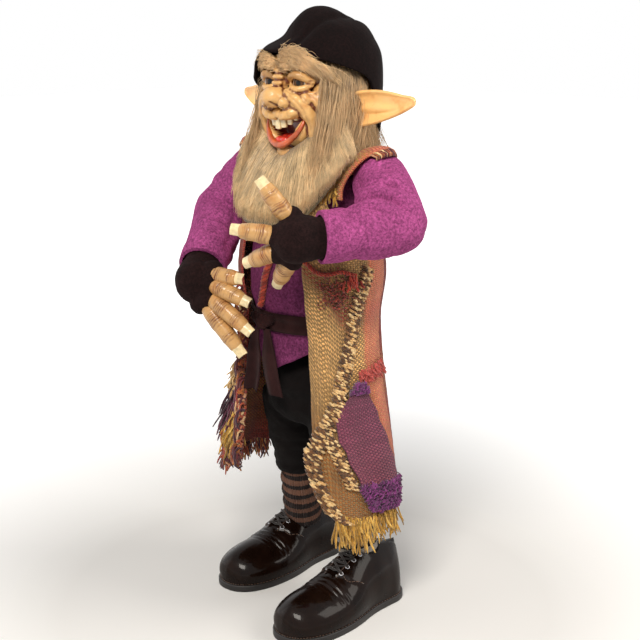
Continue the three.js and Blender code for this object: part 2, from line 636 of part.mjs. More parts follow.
function makeLegs() {
  const seatRings = [];
  for (let i = 0; i <= 4; i += 1) {
    const z = mix(SEAT_BOTTOM_Z, SEAT_TOP_Z, i / 4);
    const half = SEAT_HALF * mix(SEAT_BOTTOM_SHARE, 1, Math.sqrt(i / 4));
    seatRings.push(trunkRing(half, z));
  }
  const seat = loft(seatRings);
  const pocket = block(
    PELVIS_BLOCK_MIDDLE.clone().add(v3(0, 0, PELVIS_DROP)),
    PELVIS_BLOCK.clone().add(v3(2 * GAP, 2 * GAP, 2 * GAP + 2 * PELVIS_DROP)),
  );
  const rodWay = (side) =>
    rod(hipPoint(side).lerp(footPoint(side), -0.03), footPoint(side), LEG_ROD_RADIUS + GAP);
  add('trouser_seat', cut(seat, pocket, rodWay(-1), rodWay(1)), BLACK_CLOTH);

  const pushedOut = (p) => p.clone().addScaledVector(outwardsFrom(p), GAP);
  const seatTool = loft(seatRings.map((ring) => ring.map(pushedOut)));
  for (const side of [-1, 1]) {
    const name = side > 0 ? 'left' : 'right';
    add(`leg_rod_${name}`, rod(hipPoint(side), footPoint(side), LEG_ROD_RADIUS), STEEL);
    const thigh = legAt(side, SEAT_BOTTOM_Z + THIGH_RISE);
    const hem = legAt(side, TROUSER_HEM_Z);
    const down = hem.clone().sub(thigh).normalize();
    const leg = trim(limb(thigh, hem, THIGH_RADIUS, TROUSER_HEM_RADIUS, { swell: 2 }), hem, down);
    const low = v3(0, 0, SEAT_BOTTOM_Z - GAP);
    const belowSeat = cut(leg, trim(seatTool, low, v3(0, 0, -1)), bottomCap(seatRings[0]), rodWay(side));
    const half = trim(belowSeat, v3(side * GAP, 0, 0), v3(-side, 0, 0));
    add(`trouser_leg_${name}`, half, BLACK_CLOTH);

    const top = hem.clone().addScaledVector(down, GAP);
    const ankle = legAt(side, SHOE_COLLAR_Z - SOCK_IN_SHOE);
    const knit = limb(hem, ankle, SOCK_RADIUS + 1, SOCK_RADIUS - 1, { swell: -1 });
    const sock = trim(trim(knit, top, down.clone().negate()), ankle, down);
    add(`sock_${name}`, cut(sock, rodWay(side)), STRIPED_KNIT);
    makeShoe(side, name, ankle);
  }
}

// A thin plate under the seat, so that the thighs stay clear of its flat bottom.
const bottomCap = (ring) =>
  loft([ring.map((p) => v3(p.x, p.y, p.z - GAP)), ring.map((p) => v3(p.x, p.y, p.z + GAP))]);

// Shoe outline: t runs from the heel, 0, to the toe, 1.
const HEEL_END = 0.16; // the heel is round up to here
const TOE_START = 0.72; // the toe is round from here
const toeRound = (t) => {
  const share = Math.max(t - TOE_START, 0) / (1 - TOE_START);
  return Math.sqrt(Math.max(1 - share ** 2, 0));
};
const shoeHalfWidth = (t) => {
  const broad = mix(SHOE_HEEL_HALF_WIDTH, SHOE_HALF_WIDTH, smooth(t, 0.15, 0.7));
  const heelRound = Math.sqrt(Math.max(1 - ((HEEL_END - Math.min(t, HEEL_END)) / HEEL_END) ** 2, 0));
  return broad * heelRound * toeRound(t);
};
const shoeTop = (t) => {
  const instep = mix(SHOE_COLLAR_Z, SHOE_TOE_Z, smooth(t, 0.34, 0.74));
  return mix(SOLE_THICKNESS + SHOE_TOE_LIP, instep, toeRound(t));
};

function shoeRing(t, y, grow, bottom, crown) {
  const width = Math.max(shoeHalfWidth(t), 3) + grow;
  const top = crown(t);
  const ring = [];
  for (let k = 0; k <= 10; k += 1) {
    const a = (k / 10) * Math.PI;
    const lift = Math.sin(a) ** 0.75;
    ring.push(v3(width * Math.cos(a) * (1 - 0.28 * lift * lift), y, bottom + (top - bottom) * lift));
  }
  return ring;
}

function makeShoe(side, name, ankle) {
  const group = new THREE.Group();
  const heelY = STANCE_Y - (side * STRIDE) / 2 + SHOE_LENGTH / 2;
  group.position.set(side * FOOT_SPREAD, heelY, 0);
  figure.add(group);
  const local = (p) => p.clone().sub(group.position);
  const alongs = [0, 0.04, 0.12, 0.28, 0.42, 0.56, 0.7, 0.82, 0.92, 0.97, 1];
  const bottom = SOLE_THICKNESS + GAP;
  const inset = SOLE_WELT;
  const length = SHOE_LENGTH - 2 * inset;
  const upper = loft(alongs.map((t) => shoeRing(t, -inset - length * t, -inset, bottom, shoeTop)));
  const aboveCollar = local(legAt(side, SHOE_COLLAR_Z + 30));
  const sockWay = limb(aboveCollar, local(ankle), SOCK_RADIUS + 1 + GAP, SOCK_RADIUS + GAP);
  const rodWay = rod(local(legAt(side, SHOE_COLLAR_Z)), local(legAt(side, 0)), LEG_ROD_RADIUS + GAP);
  add(`shoe_upper_${name}`, cut(upper, sockWay, rodWay), SHOE_LEATHER, group);

  const outline = new THREE.Shape();
  const steps = 12;
  for (let i = 0; i <= 2 * steps; i += 1) {
    const t = i <= steps ? i / steps : 2 - i / steps;
    const eased = (1 - Math.cos(Math.PI * t)) / 2;
    const x = (i <= steps ? 1 : -1) * shoeHalfWidth(eased);
    if (i === 0) outline.moveTo(x, -SHOE_LENGTH * eased);
    else outline.lineTo(x, -SHOE_LENGTH * eased);
  }
  const sole = toSolid(new THREE.ExtrudeGeometry(outline, { depth: SOLE_THICKNESS, bevelEnabled: false }));
  add(`shoe_sole_${name}`, sole, SOLE_RUBBER, group);

  const lacePoints = [];
  for (let row = 0; row < LACE_ROWS; row += 1) {
    const y = -ANKLE_FROM_HEEL - LACE_FROM_ANKLE - (LACE_RUN * row) / (LACE_ROWS - 1);
    const t = (-y - inset) / length;
    const x = LACE_HALF_WIDTH * (row % 2 ? -1 : 1);
    for (const share of [1, 0]) lacePoints.push(v3(x * (2 * share - 1), y, laceHeight(t)));
  }
  const lacePath = new THREE.CatmullRomCurve3(lacePoints, false, 'centripetal');
  const section = new THREE.Shape();
  section.absarc(0, 0, LACE_RADIUS, 0, 2 * Math.PI);
  const lace = new THREE.ExtrudeGeometry(section, { extrudePath: lacePath, steps: 18, curveSegments: 3 });
  add(`shoe_lace_${name}`, toSolid(lace), LACE, group);
}

// The lace rides this high over the instep's crown.
const laceHeight = (t) => shoeTop(t) + LACE_RADIUS + LACE_RIDE;

// A thick fan about a hinge: the space that a rod of this radius sweeps between two angles.
function fan(centre, hinge, zero, fromDegrees, toDegrees, reach, radius) {
  const across = hinge.clone().cross(zero);
  const steps = 4;
  const shape = new THREE.Shape();
  const polar = (degrees, r, aside) => {
    const a = degrees * DEG;
    return [r * Math.cos(a) - aside * Math.sin(a), r * Math.sin(a) + aside * Math.cos(a)];
  };
  shape.moveTo(...polar(fromDegrees, 0, -radius));
  for (let i = 0; i <= steps; i += 1) {
    const aside = (i / steps) * 2 * radius - radius;
    shape.lineTo(...polar(mix(fromDegrees, toDegrees, i / steps), reach, aside));
  }
  shape.lineTo(...polar(toDegrees, 0, radius));
  const geometry = new THREE.ExtrudeGeometry(shape, { depth: 2 * radius, bevelEnabled: false });
  const turn = new THREE.Matrix4().makeBasis(zero, across, hinge).setPosition(centre);
  return toSolid(geometry.translate(0, 0, -radius).applyMatrix4(turn));
}

// One arm. The pose of its bones is given by directions; finger spots are measured from the palm's middle.
function makeArm({ side, name, upperDirection, forearmDirection, bend, straighten, fingers }) {
  const shoulder = shoulderPoint(side);
  const elbow = shoulder.clone().addScaledVector(upperDirection.clone().normalize(), UPPER_ARM_LENGTH);
  const along = forearmDirection.clone().normalize();
  const wrist = elbow.clone().addScaledVector(along, FOREARM_LENGTH);
  const palm = wrist.clone().addScaledVector(along, PALM_REACH);
  const back = shoulder.clone().sub(elbow).normalize();
  const hinge = back.clone().cross(along).normalize(); // turning about it opens the elbow
  const turnedAbout = (direction, degrees) => direction.clone().applyAxisAngle(hinge, degrees * DEG);

  // Steel bolt from the chest block through the eye of the arm core
  const boltStart = v3(side * (CHEST_BLOCK.x / 2 - BOLT_IN_BLOCK), SHOULDER_Y, SHOULDER_Z);
  const outer = (x) => v3(side * (SHOULDER_X + x), SHOULDER_Y, SHOULDER_Z);
  const headFrom = outer(ARM_EYE_RADIUS + GAP);
  const headTo = outer(ARM_EYE_RADIUS + GAP + BOLT_HEAD_THICKNESS);
  const bolt = join(rod(boltStart, headFrom, SHOULDER_BOLT_RADIUS), rod(headFrom, headTo, BOLT_HEAD_RADIUS));
  add(`shoulder_bolt_${name}`, bolt, STEEL);

  // Wooden cores with a pinned knuckle at the elbow
  const onHinge = (radius, half, sides) =>
    rod(elbow.clone().addScaledVector(hinge, -half), elbow.clone().addScaledVector(hinge, half), radius, sides);
  const pinHole = onHinge(ELBOW_PIN_RADIUS + RUNNING, 2 * ELBOW_FORK_HALF);
  const boltHole = rod(outer(-2 * ARM_EYE_RADIUS), outer(2 * ARM_EYE_RADIUS), SHOULDER_BOLT_RADIUS + RUNNING);
  const eye = rod(outer(-ARM_EYE_RADIUS), outer(ARM_EYE_RADIUS), ARM_EYE_RADIUS, 10);
  const upperCore = cut(
    join(eye, rod(shoulder, elbow, ARM_CORE_RADIUS), onHinge(ELBOW_KNUCKLE_RADIUS, ELBOW_FORK_HALF, 12)),
    boltHole,
    onHinge(ELBOW_KNUCKLE_RADIUS + KNUCKLE_ROOM, ELBOW_TONGUE / 2 + GAP, 12),
    pinHole,
    rod(outer(ARM_EYE_RADIUS), headTo.clone().add(v3(side * GAP, 0, 0)), BOLT_HEAD_RADIUS + 4 * GAP),
  );
  add(`upper_arm_core_${name}`, upperCore, WOOD);
  const slotStart = elbow.clone().addScaledVector(along, ELBOW_KNUCKLE_RADIUS + KNUCKLE_ROOM + GAP);
  const slotEnd = slotStart.clone().addScaledVector(along, 1);
  const palmEnd = palm.clone().addScaledVector(along, -PALM_RADIUS / 2);
  const flat = (sign) => {
    const outwards = hinge.clone().multiplyScalar(sign);
    return [elbow.clone().addScaledVector(outwards, ELBOW_TONGUE / 2), outwards];
  };
  const neck = trim(trim(rod(elbow, slotEnd, ARM_CORE_RADIUS), ...flat(1)), ...flat(-1));
  const dowel = rod(slotStart, palmEnd, ARM_CORE_RADIUS);
  const forearmCore = cut(join(onHinge(ELBOW_KNUCKLE_RADIUS, ELBOW_TONGUE / 2, 12), neck, dowel), pinHole);
  add(`forearm_core_${name}`, forearmCore, WOOD);
  add(`elbow_pin_${name}`, onHinge(ELBOW_PIN_RADIUS, ELBOW_FORK_HALF), STEEL);

  // Padded sleeves: the upper one ends in a ball at the elbow, the lower one turns round that ball
  const slotReach = SLEEVE_ELBOW_RADIUS + KNUCKLE_ROOM;
  const slotRadius = ARM_CORE_RADIUS + 3 * GAP;
  const swingSlot = fan(elbow, hinge, along, -bend - 2, straighten + 2, slotReach, slotRadius);
  const openAngle = back.angleTo(along) / DEG;
  const foldAngle = (openAngle - bend) / 2 - 1; // each sleeve keeps to its own half of the closed elbow
  const upperFold = turnedAbout(back, foldAngle); // the crease plane, on the upper sleeve's side
  const lowerFold = turnedAbout(along, -foldAngle);
  const outsideFold = turnedAbout(along, 180 - foldAngle - bend - straighten - 4);
  const upperLimb = limb(shoulder, elbow, SLEEVE_SHOULDER_RADIUS, SLEEVE_ELBOW_RADIUS, { swell: 1.5 });
  const upperSide = trim(upperLimb, elbow, hinge.clone().cross(upperFold));
  const upperInside = join(
    rod(shoulder, elbow, ARM_CORE_RADIUS + GAP),
    rod(outer(-ARM_EYE_RADIUS - GAP), outer(ARM_EYE_RADIUS + GAP), ARM_EYE_RADIUS + GAP, 10),
    onHinge(ELBOW_KNUCKLE_RADIUS + KNUCKLE_ROOM + GAP, ELBOW_FORK_HALF + GAP, 12),
    rod(v3(side * (ARMHOLE_X - 4), SHOULDER_Y, SHOULDER_Z), shoulder, SHOULDER_BOLT_RADIUS + GAP),
    rod(shoulder, outer(ARM_EYE_RADIUS + BOLT_HEAD_THICKNESS + 3 * GAP), BOLT_HEAD_RADIUS + 3 * GAP),
    swingSlot,
  );
  const upperSleeve = cut(
    trim(join(upperSide, ball(elbow, SLEEVE_ELBOW_RADIUS, 14, 8)), v3(side * ARMHOLE_X, 0, 0), v3(-side, 0, 0)),
    upperInside,
  );
  add(`sleeve_upper_${name}`, upperSleeve, PURPLE_FELT);

  const lowerLimb = limb(elbow, wrist, SLEEVE_ELBOW_RADIUS + 1.5, SLEEVE_CUFF_RADIUS, { swell: 1 });
  const inFold = trim(lowerLimb, elbow, lowerFold.clone().cross(hinge));
  const wedge = trim(inFold, elbow, hinge.clone().cross(outsideFold));
  const cuffRecess = rod(
    wrist.clone().addScaledVector(along, -CUFF_DEPTH),
    wrist.clone().addScaledVector(along, SLEEVE_CUFF_RADIUS),
    PALM_RADIUS + GAP,
    12,
  );
  const lowerSleeve = cut(
    trim(wedge, wrist, along),
    ball(elbow, SLEEVE_ELBOW_RADIUS + ELBOW_EASE, 14, 8),
    rod(elbow, wrist, ARM_CORE_RADIUS + GAP),
    cuffRecess,
  );
  add(`sleeve_lower_${name}`, lowerSleeve, PURPLE_FELT);
  makeHand({ name, palm, wrist, along, palmEnd, fingers });
}

function makeHand({ name, palm, wrist, along, palmEnd, fingers }) {
  const fingerForm = (grow) =>
    fingers.map(([base, tip]) =>
      limb(
        palm.clone().add(base).lerp(palm, 0.35),
        palm.clone().add(tip),
        FINGER_BASE_RADIUS + grow,
        FINGER_TIP_RADIUS + grow,
        { sides: 7, steps: 1, arc: 2 },
      ),
    );
  const coreStart = wrist.clone().addScaledVector(along, -2 * CUFF_DEPTH);
  const coreEnd = palmEnd.clone().addScaledVector(along, GAP);
  const coreWay = rod(coreStart, coreEnd, ARM_CORE_RADIUS + GAP);
  const casting = cut(join(ball(palm, PALM_RADIUS - HAND_INSET), ...fingerForm(0)), coreWay);
  add(`hand_${name}`, casting, PAINTED_SKIN);
  const cuffStart = wrist.clone().addScaledVector(along, GAP - CUFF_DEPTH);
  const glove = join(ball(palm, PALM_RADIUS + GLOVE_CLOTH, 12, 8), rod(cuffStart, palm, PALM_RADIUS, 12));
  const handWay = ball(palm, PALM_RADIUS - HAND_INSET + GAP);
  add(`glove_${name}`, cut(glove, handWay, ...fingerForm(GAP), coreWay), BLACK_FELT);
}

const LEFT_ARM = {
  side: 1,
  name: 'left',
  upperDirection: v3(46, -22, -40),
  forearmDirection: v3(-50, -86, 0),
  bend: 8,
  straighten: 55,
  fingers: [
    [v3(-6, 2, 16), v3(-21, -16, 44)],
    [v3(-10, -10, 2), v3(-38, -28, 6)],
    [v3(-12, -6, -12), v3(-40, -12, -22)],
    [v3(-9, 4, -18), v3(-30, 10, -40)],
  ],
};
const RIGHT_ARM = {
  side: -1,
  name: 'right',
  upperDirection: v3(-30, -30, -52),
  forearmDirection: v3(46, -73, -50),
  bend: 5,
  straighten: 40,
  fingers: [
    [v3(14, 6, 12), v3(40, 10, 22)],
    [v3(17, 0, 4), v3(52, 10, -11)],
    [v3(16, -4, -10), v3(56, 9, -37)],
    [v3(8, -5, -18), v3(48, 7, -58)],
  ],
};

// Head form: the same lumps, grown a little, also cut the pieces that lie against it.
function headForm(grow) {
  const lump = ({ middle, half }, side = 1) =>
    ellipsoid(v3(side * middle.x, middle.y, middle.z), half, grow, 10, 6);
  const skull = ellipsoid(v3(0, SKULL_Y, SKULL_Z), SKULL_HALF, grow, 16, 10);
  const jaw = ellipsoid(JAW_MIDDLE, JAW_HALF, grow);
  const middles = [CHIN, NOSE_BRIDGE, NOSE_TIP, UPPER_LIP, LOWER_LIP].map((form) => lump(form));
  const pairs = [-1, 1].flatMap((side) => [lump(NOSTRIL, side), lump(CHEEK, side)]);
  const neck = rod(v3(0, 0, HEAD_BASE_Z - grow), v3(0, 0, SKULL_Z - 20), NECK_DISC_RADIUS - 2 + grow, 20);
  return join(skull, jaw, ...middles, ...pairs, neck);
}

const eyePoint = (side) => v3(side * EYE_SPREAD, EYE_Y, EYE_Z);

// The laughing mouth: a half-moon pocket cut into the front of the face.
function mouthPocket(shrink) {
  const half = MOUTH_HALF_WIDTH - shrink;
  const moon = new THREE.Shape();
  moon.moveTo(-half, MOUTH_HEIGHT / 2 - shrink);
  moon.quadraticCurveTo(0, MOUTH_HEIGHT / 2 - 5 - shrink, half, MOUTH_HEIGHT / 2 - shrink);
  moon.quadraticCurveTo(0, -1.5 * MOUTH_HEIGHT + 2 * shrink, -half, MOUTH_HEIGHT / 2 - shrink);
  const geometry = new THREE.ExtrudeGeometry(moon, { depth: 60, bevelEnabled: false, curveSegments: 8 });
  return toSolid(geometry.rotateX(Math.PI / 2).translate(0, MOUTH_BACK_Y - shrink, MOUTH_Z));
}

function earSolid(side, grow) {
  const rings = [];
  const steps = 5;
  for (let i = 0; i <= steps; i += 1) {
    const t = i / steps;
    const swellUp = Math.sin(Math.PI * Math.min(t + 0.28, 1));
    const height = mix(EAR_HALF_HEIGHT, 1.5, t) * mix(1, 0.75 + 0.5 * swellUp, 0.5) + grow;
    const thickness = mix(EAR_HALF_THICKNESS, 1.5, t) + grow;
    const middle = EAR_ROOT.clone().add(v3(EAR_LENGTH * t, EAR_TIP_BACK * t, EAR_TIP_RISE * t * t));
    const ring = [];
    for (let k = 0; k < 10; k += 1) {
      const a = (k / 10) * 2 * Math.PI;
      ring.push(v3(side * middle.x, middle.y + thickness * Math.sin(a), middle.z + height * Math.cos(a)));
    }
    rings.push(ring);
  }
  return loft(rings);
}

function makeHead() {
  const head = headForm(0);
  const sockets = [-1, 1].map((side) => ball(eyePoint(side), EYE_RADIUS + GAP, 12, 8));
  const boltEnd = v3(0, 0, HEAD_BASE_Z + NECK_BOLT_IN_HEAD + GAP);
  const boltWay = rod(v3(0, 0, NECK_Z), boltEnd, NECK_BOLT_RADIUS + RUNNING);
  add('head_casting', cut(head, ...sockets, boltWay, mouthPocket(0)), PAINTED_SKIN);
  const faceTool = headForm(GAP);
  const skull = (grow) => ellipsoid(v3(0, SKULL_Y, SKULL_Z), SKULL_HALF, grow, 16, 10);

  for (const side of [-1, 1]) {
    const name = side > 0 ? 'left' : 'right';
    add(`eye_${name}`, ball(eyePoint(side), EYE_RADIUS, 12, 8), EYE_GLASS);
    add(`ear_${name}`, cut(earSolid(side, 0), skull(GAP)), PAINTED_SKIN);
  }
  add('tongue', tongueForm(), MOUTH_RED);
  add('upper_teeth', teethForm(), TOOTH);

  // Wig, brows and hat nest round the skull
  const ears = [-1, 1].map((side) => earSolid(side, GAP));
  const jawTool = ellipsoid(JAW_MIDDLE, JAW_HALF, GAP);
  const neckTool = rod(v3(0, 0, HEAD_BASE_Z), v3(0, 0, SKULL_Z), NECK_DISC_RADIUS);
  const shell = cut(skull(HAIR_THICKNESS), skull(GAP), jawTool, neckTool);
  const behindFace = trim(shell, v3(0, FACE_Y, 0), v3(0, -1, 0));
  const wig = trim(behindFace, v3(0, 0, HAIR_LENGTH_Z), v3(0, 0, -1));
  add('wig', cut(wig, ...ears), GREY_FUR);

  const tilt = v3(0, -Math.sin(HAT_TILT * DEG), -Math.cos(HAT_TILT * DEG));
  const crown = (grow, rise) =>
    ellipsoid(v3(0, SKULL_Y, SKULL_Z), SKULL_HALF.clone().add(v3(0, 0, rise)), HAIR_THICKNESS + grow, 16, 10);
  const hatShell = cut(crown(HAT_FELT + GAP, HAT_CROWN_RISE), crown(GAP, 0));
  const edge = v3(0, 0, HAT_EDGE_Z);
  add('hat', cut(trim(hatShell, edge, tilt), ...ears), BLACK_FELT);
  const underEdge = edge.clone().addScaledVector(tilt, GAP);
  const hatTool = trim(crown(HAT_FELT + 2 * GAP, HAT_CROWN_RISE), underEdge, tilt);
  for (const side of [-1, 1]) {
    const brow = ellipsoid(v3(side * BROW.middle.x, BROW.middle.y, BROW.middle.z), BROW.half);
    const eye = ball(eyePoint(side), EYE_RADIUS + GAP, 12, 8);
    const clear = trim(cut(brow, faceTool, hatTool, eye), v3(side * GAP, 0, 0), v3(-side, 0, 0));
    add(side > 0 ? 'brow_left' : 'brow_right', trim(clear, v3(0, FACE_Y - GAP, 0), v3(0, 1, 0)), GREY_FUR);
  }
  makeBeard(faceTool, ears);
}

const tongueForm = () => ellipsoid(TONGUE.middle, TONGUE.half).intersect(mouthPocket(GAP));

function teethForm() {
  const gumY = MOUTH_BACK_Y - GUM_DEPTH;
  const gumSize = v3(TOOTH_PITCH * TOOTH_COUNT, GUM_DEPTH, GUM_HEIGHT);
  const gum = block(v3(0, gumY, MOUTH_Z + GUM_HEIGHT - 1), gumSize);
  const teeth = [];
  for (let i = 0; i < TOOTH_COUNT; i += 1) {
    const x = (i - (TOOTH_COUNT - 1) / 2) * TOOTH_PITCH;
    const size = v3(TOOTH_PITCH - TOOTH_GAP, TOOTH_DEPTH, TOOTH_LENGTH);
    teeth.push(block(v3(x, gumY - 1, MOUTH_Z + TOOTH_LENGTH / 2 - 1), size));
  }
  return join(gum, ...teeth).intersect(mouthPocket(GAP));
}

function makeBeard(faceTool, ears) {
  const underEar = EAR_ROOT.z - EAR_HALF_HEIGHT + 14;
  const bottomAt = (angle) =>
    mix(BEARD_BOTTOM_Z, HAIR_LENGTH_Z, smooth(Math.abs(angle), 26, BEARD_HALF_ANGLE - 8));
  const topAt = (angle) => mix(BEARD_TOP_Z, underEar, smooth(Math.abs(angle), 8, BEARD_HALF_ANGLE));
  const beard = cloth(
    (u, v) => {
      const angle = mix(-BEARD_HALF_ANGLE, BEARD_HALF_ANGLE, u);
      const z = mix(bottomAt(angle), topAt(angle), v);
      const inner = mix(BEARD_INNER, BEARD_NEAR_JAW, smooth(z, SHOULDER_Z + 8, SHOULDER_Z + 52));
      const taper = mix(0.5, 1, smooth(z, BEARD_BOTTOM_Z, BEARD_BOTTOM_Z + 26));
      const root = smooth(v, 0.68, 1); // the top turns in to the jaw
      const radius = mix(inner + BEARD_THICKNESS * taper, BEARD_ROOT, root);
      const outwards = outwardsAt(angle).multiplyScalar(1 - root).add(v3(0, 0, root)).normalize();
      return [outwardsAt(angle).multiplyScalar(radius).add(v3(0, 0, z + 4 * root)), outwards];
    },
    BEARD_THICKNESS * 0.5,
    12,
    7,
  );
  add('beard', cut(trim(beard, v3(0, FACE_Y - GAP, 0), v3(0, 1, 0)), faceTool, ...ears), GREY_FUR);
}

makeInnerFrame();
makeTrunk();
makeSash();
makeVest();
makeTieCord();
makeLegs();
makeArm(LEFT_ARM);
makeArm(RIGHT_ARM);
makeHead();

// The origin goes to the middle of the figure's box on the floor.
const span = new THREE.Box3().setFromObject(figure);
const middle = span.getCenter(v3(0, 0, 0));
figure.position.set(-middle.x, -middle.y, -span.min.z);

export default figure;
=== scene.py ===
"""A standing textile goblin figure, dressed for the render over its CAD frame."""

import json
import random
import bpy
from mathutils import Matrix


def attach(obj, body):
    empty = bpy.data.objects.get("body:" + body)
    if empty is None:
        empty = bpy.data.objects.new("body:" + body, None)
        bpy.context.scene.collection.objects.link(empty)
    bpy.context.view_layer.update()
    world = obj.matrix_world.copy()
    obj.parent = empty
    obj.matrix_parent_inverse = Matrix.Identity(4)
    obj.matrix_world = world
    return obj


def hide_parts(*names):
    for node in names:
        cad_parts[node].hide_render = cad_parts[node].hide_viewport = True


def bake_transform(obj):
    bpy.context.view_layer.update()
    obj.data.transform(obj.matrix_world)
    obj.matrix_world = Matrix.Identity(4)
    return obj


bl_info = {
    "name": "Textile goblin figure",
    "version": (1, 0, 0),
    "blender": (4, 5, 0),
    "location": "3D View > Sidebar > Goblin",
    "description": "Models a standing textile goblin over its CAD frame and sets its studio",
    "category": "Object",
}

from functools import partial
from math import atan2, copysign, cos, exp, pi, radians, sin, sqrt
from types import SimpleNamespace

import bpy
import numpy as np
from mathutils import Vector, noise
from mathutils.bvhtree import BVHTree
from mathutils.kdtree import KDTree

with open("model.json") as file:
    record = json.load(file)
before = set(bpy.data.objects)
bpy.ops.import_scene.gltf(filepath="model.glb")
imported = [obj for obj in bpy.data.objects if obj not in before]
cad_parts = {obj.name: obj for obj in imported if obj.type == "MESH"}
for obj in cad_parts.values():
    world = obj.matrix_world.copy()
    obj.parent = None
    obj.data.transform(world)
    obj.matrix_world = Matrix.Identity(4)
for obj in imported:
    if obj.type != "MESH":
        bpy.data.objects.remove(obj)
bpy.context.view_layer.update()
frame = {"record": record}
JOINTS = {joint["name"]: joint for joint in frame["record"]["behaviour"]["joints"]}

# The figure's own axis on the floor, in metres. Below, places on the figure are in millimetres from it.
AXIS_X, AXIS_Y, _ = JOINTS["neck_turn"]["pos_m"]
SIDES = (("left", 1), ("right", -1))
CURVE_PARTS = 16  # steps of a smooth curve between two of its points


# Places and small sums


def at(x, y, z):
    """A place on the figure, in the frame's metres."""
    return Vector((AXIS_X + x / 1000, AXIS_Y + y / 1000, z / 1000))


def up(height):
    """A move straight up."""
    return Vector((0, 0, height))


def mix(a, b, t):
    """The value a share t of the way from a to b."""
    return a + (b - a) * t


def ease(value, low, high):
    """0 below low, 1 above high and a smooth rise between them."""
    t = min(max((value - low) / (high - low), 0), 1)
    return t * t * (3 - 2 * t)


def bell(away, width):
    """1 at the middle, falling smoothly to almost nothing two widths away."""
    return exp(-((away / width) ** 2))


def through(table, value):
    """The value read from a table of (place, value) rows, eased between rows."""
    if value <= table[0][0]:
        return table[0][1]
    for (low, a), (high, b) in zip(table, table[1:]):
        if value <= high:
            return mix(a, b, ease(value, low, high))
    return table[-1][1]


def ripple(point, pitch, seed=0.0):
    """Smooth noise from -1 to 1 at a place on the figure, with lumps about pitch millimetres apart."""
    return noise.noise(Vector(point) / pitch + Vector((seed, seed * 1.7, -seed)))


def along_line(points, steps):
    """Evenly stepped points on a smooth curve through the given points."""
    points = [Vector(p) for p in points]
    ends = [2 * points[0] - points[1], *points, 2 * points[-1] - points[-2]]
    curve = []
    for i in range(1, len(ends) - 2):
        a, b, c, d = ends[i - 1 : i + 3]
        for k in range(CURVE_PARTS):
            t = k / CURVE_PARTS
            bend, twist = 2 * a - 5 * b + 4 * c - d, 3 * b - a - 3 * c + d
            curve.append(0.5 * (2 * b + (c - a) * t + bend * t**2 + twist * t**3))
    curve.append(points[-1])
    reach = [0.0]
    for p, q in zip(curve, curve[1:]):
        reach.append(reach[-1] + (q - p).length)
    spots = []
    k = 0
    for i in range(steps + 1):
        target = reach[-1] * i / steps
        while k < len(reach) - 2 and reach[k + 1] < target:
            k += 1
        span = reach[k + 1] - reach[k] or 1
        spots.append(curve[k].lerp(curve[k + 1], (target - reach[k]) / span))
    return spots


def side_on(direction):
    """Two directions square to a direction and to each other."""
    direction = Vector(direction).normalized()
    helper = up(1) if abs(direction.z) < 0.9 else Vector((1, 0, 0))
    first = direction.cross(helper).normalized()
    return first, direction.cross(first).normalized()


# The trunk's form, which every garment follows

TRUNK_DEPTH = 0.86  # the trunk's depth as a share of its width
TRUNK = ((262, 56), (300, 57), (345, 62), (404, 57), (438, 50), (456, 24))
WAIST_Z = 300
TUNIC_EASE = 4.1  # tunic cloth and air over the padding
SASH_EASE = 4.7  # sash cloth and air over the tunic


def trunk_half(z):
    """Half width of the padded trunk at a height."""
    return through(TRUNK, z)


def tunic_half(z):
    """Half width of the tunic at a height."""
    return trunk_half(z) + TUNIC_EASE


def sash_half(z):
    """Half width of the sash at a height."""
    return tunic_half(z) + SASH_EASE


def round_trunk(angle, half, z):
    """A place round the trunk: angle 0 is the front and 90 the figure's left side."""
    turn = radians(angle)
    return Vector((half * sin(turn), -half * TRUNK_DEPTH * cos(turn), z))


def off_trunk(angle):
    """The way straight out from the trunk."""
    return round_trunk(angle, 1, 0).normalized()


# Making pieces


def fresh_start():
    """Leaves nothing selected, so that an operator acts on the next piece alone."""
    if bpy.context.object and bpy.context.object.mode != "OBJECT":
        bpy.ops.object.mode_set(mode="OBJECT")
    bpy.ops.object.select_all(action="DESELECT")


def pick(piece):
    """Makes a piece the only selected and the active one."""
    fresh_start()
    piece.select_set(True)
    bpy.context.view_layer.objects.active = piece


def named(name):
    """Names the piece that was just added."""
    piece = bpy.context.object
    piece.name = name
    piece.data.name = name
    return piece


def settle(piece):
    """Puts a piece's place, turn and scale into its mesh."""
    pick(piece)
    bpy.ops.object.transform_apply(location=True, rotation=True, scale=True)
    return piece


def changed(piece, kind, **settings):
    """Adds a modifier to a piece and applies it."""
    pick(piece)
    modifier = piece.modifiers.new(kind.title(), kind)
    for key, value in settings.items():
        setattr(modifier, key, value)
    bpy.ops.object.modifier_apply(modifier=modifier.name)
    return piece


def rounded(piece, levels=1):
    """Smooths a piece by subdividing it."""
    return changed(piece, "SUBSURF", levels=levels, render_levels=levels)


def edited(piece, *steps):
    """Runs edit-mode operators on the whole of a piece."""
    pick(piece)
    bpy.ops.object.mode_set(mode="EDIT")
    bpy.ops.mesh.select_all(action="SELECT")
    for step in steps:
        step()
    bpy.ops.object.mode_set(mode="OBJECT")
    return piece


def outwards(piece):
    """Merges a piece's doubles and turns its faces outwards."""
    return edited(
        piece,
        lambda: bpy.ops.mesh.remove_doubles(threshold=1e-5),
        lambda: bpy.ops.mesh.normals_make_consistent(inside=False),
    )


def soft_shaded(piece):
    """Shades a piece smooth all over."""
    pick(piece)
    bpy.ops.object.shade_smooth()
    return piece


def edge_shaded(piece, angle):
    """Shades a piece smooth, apart from edges sharper than so many degrees."""
    soft_shaded(piece)
    bpy.ops.object.shade_smooth_by_angle(angle=radians(angle))
    return piece


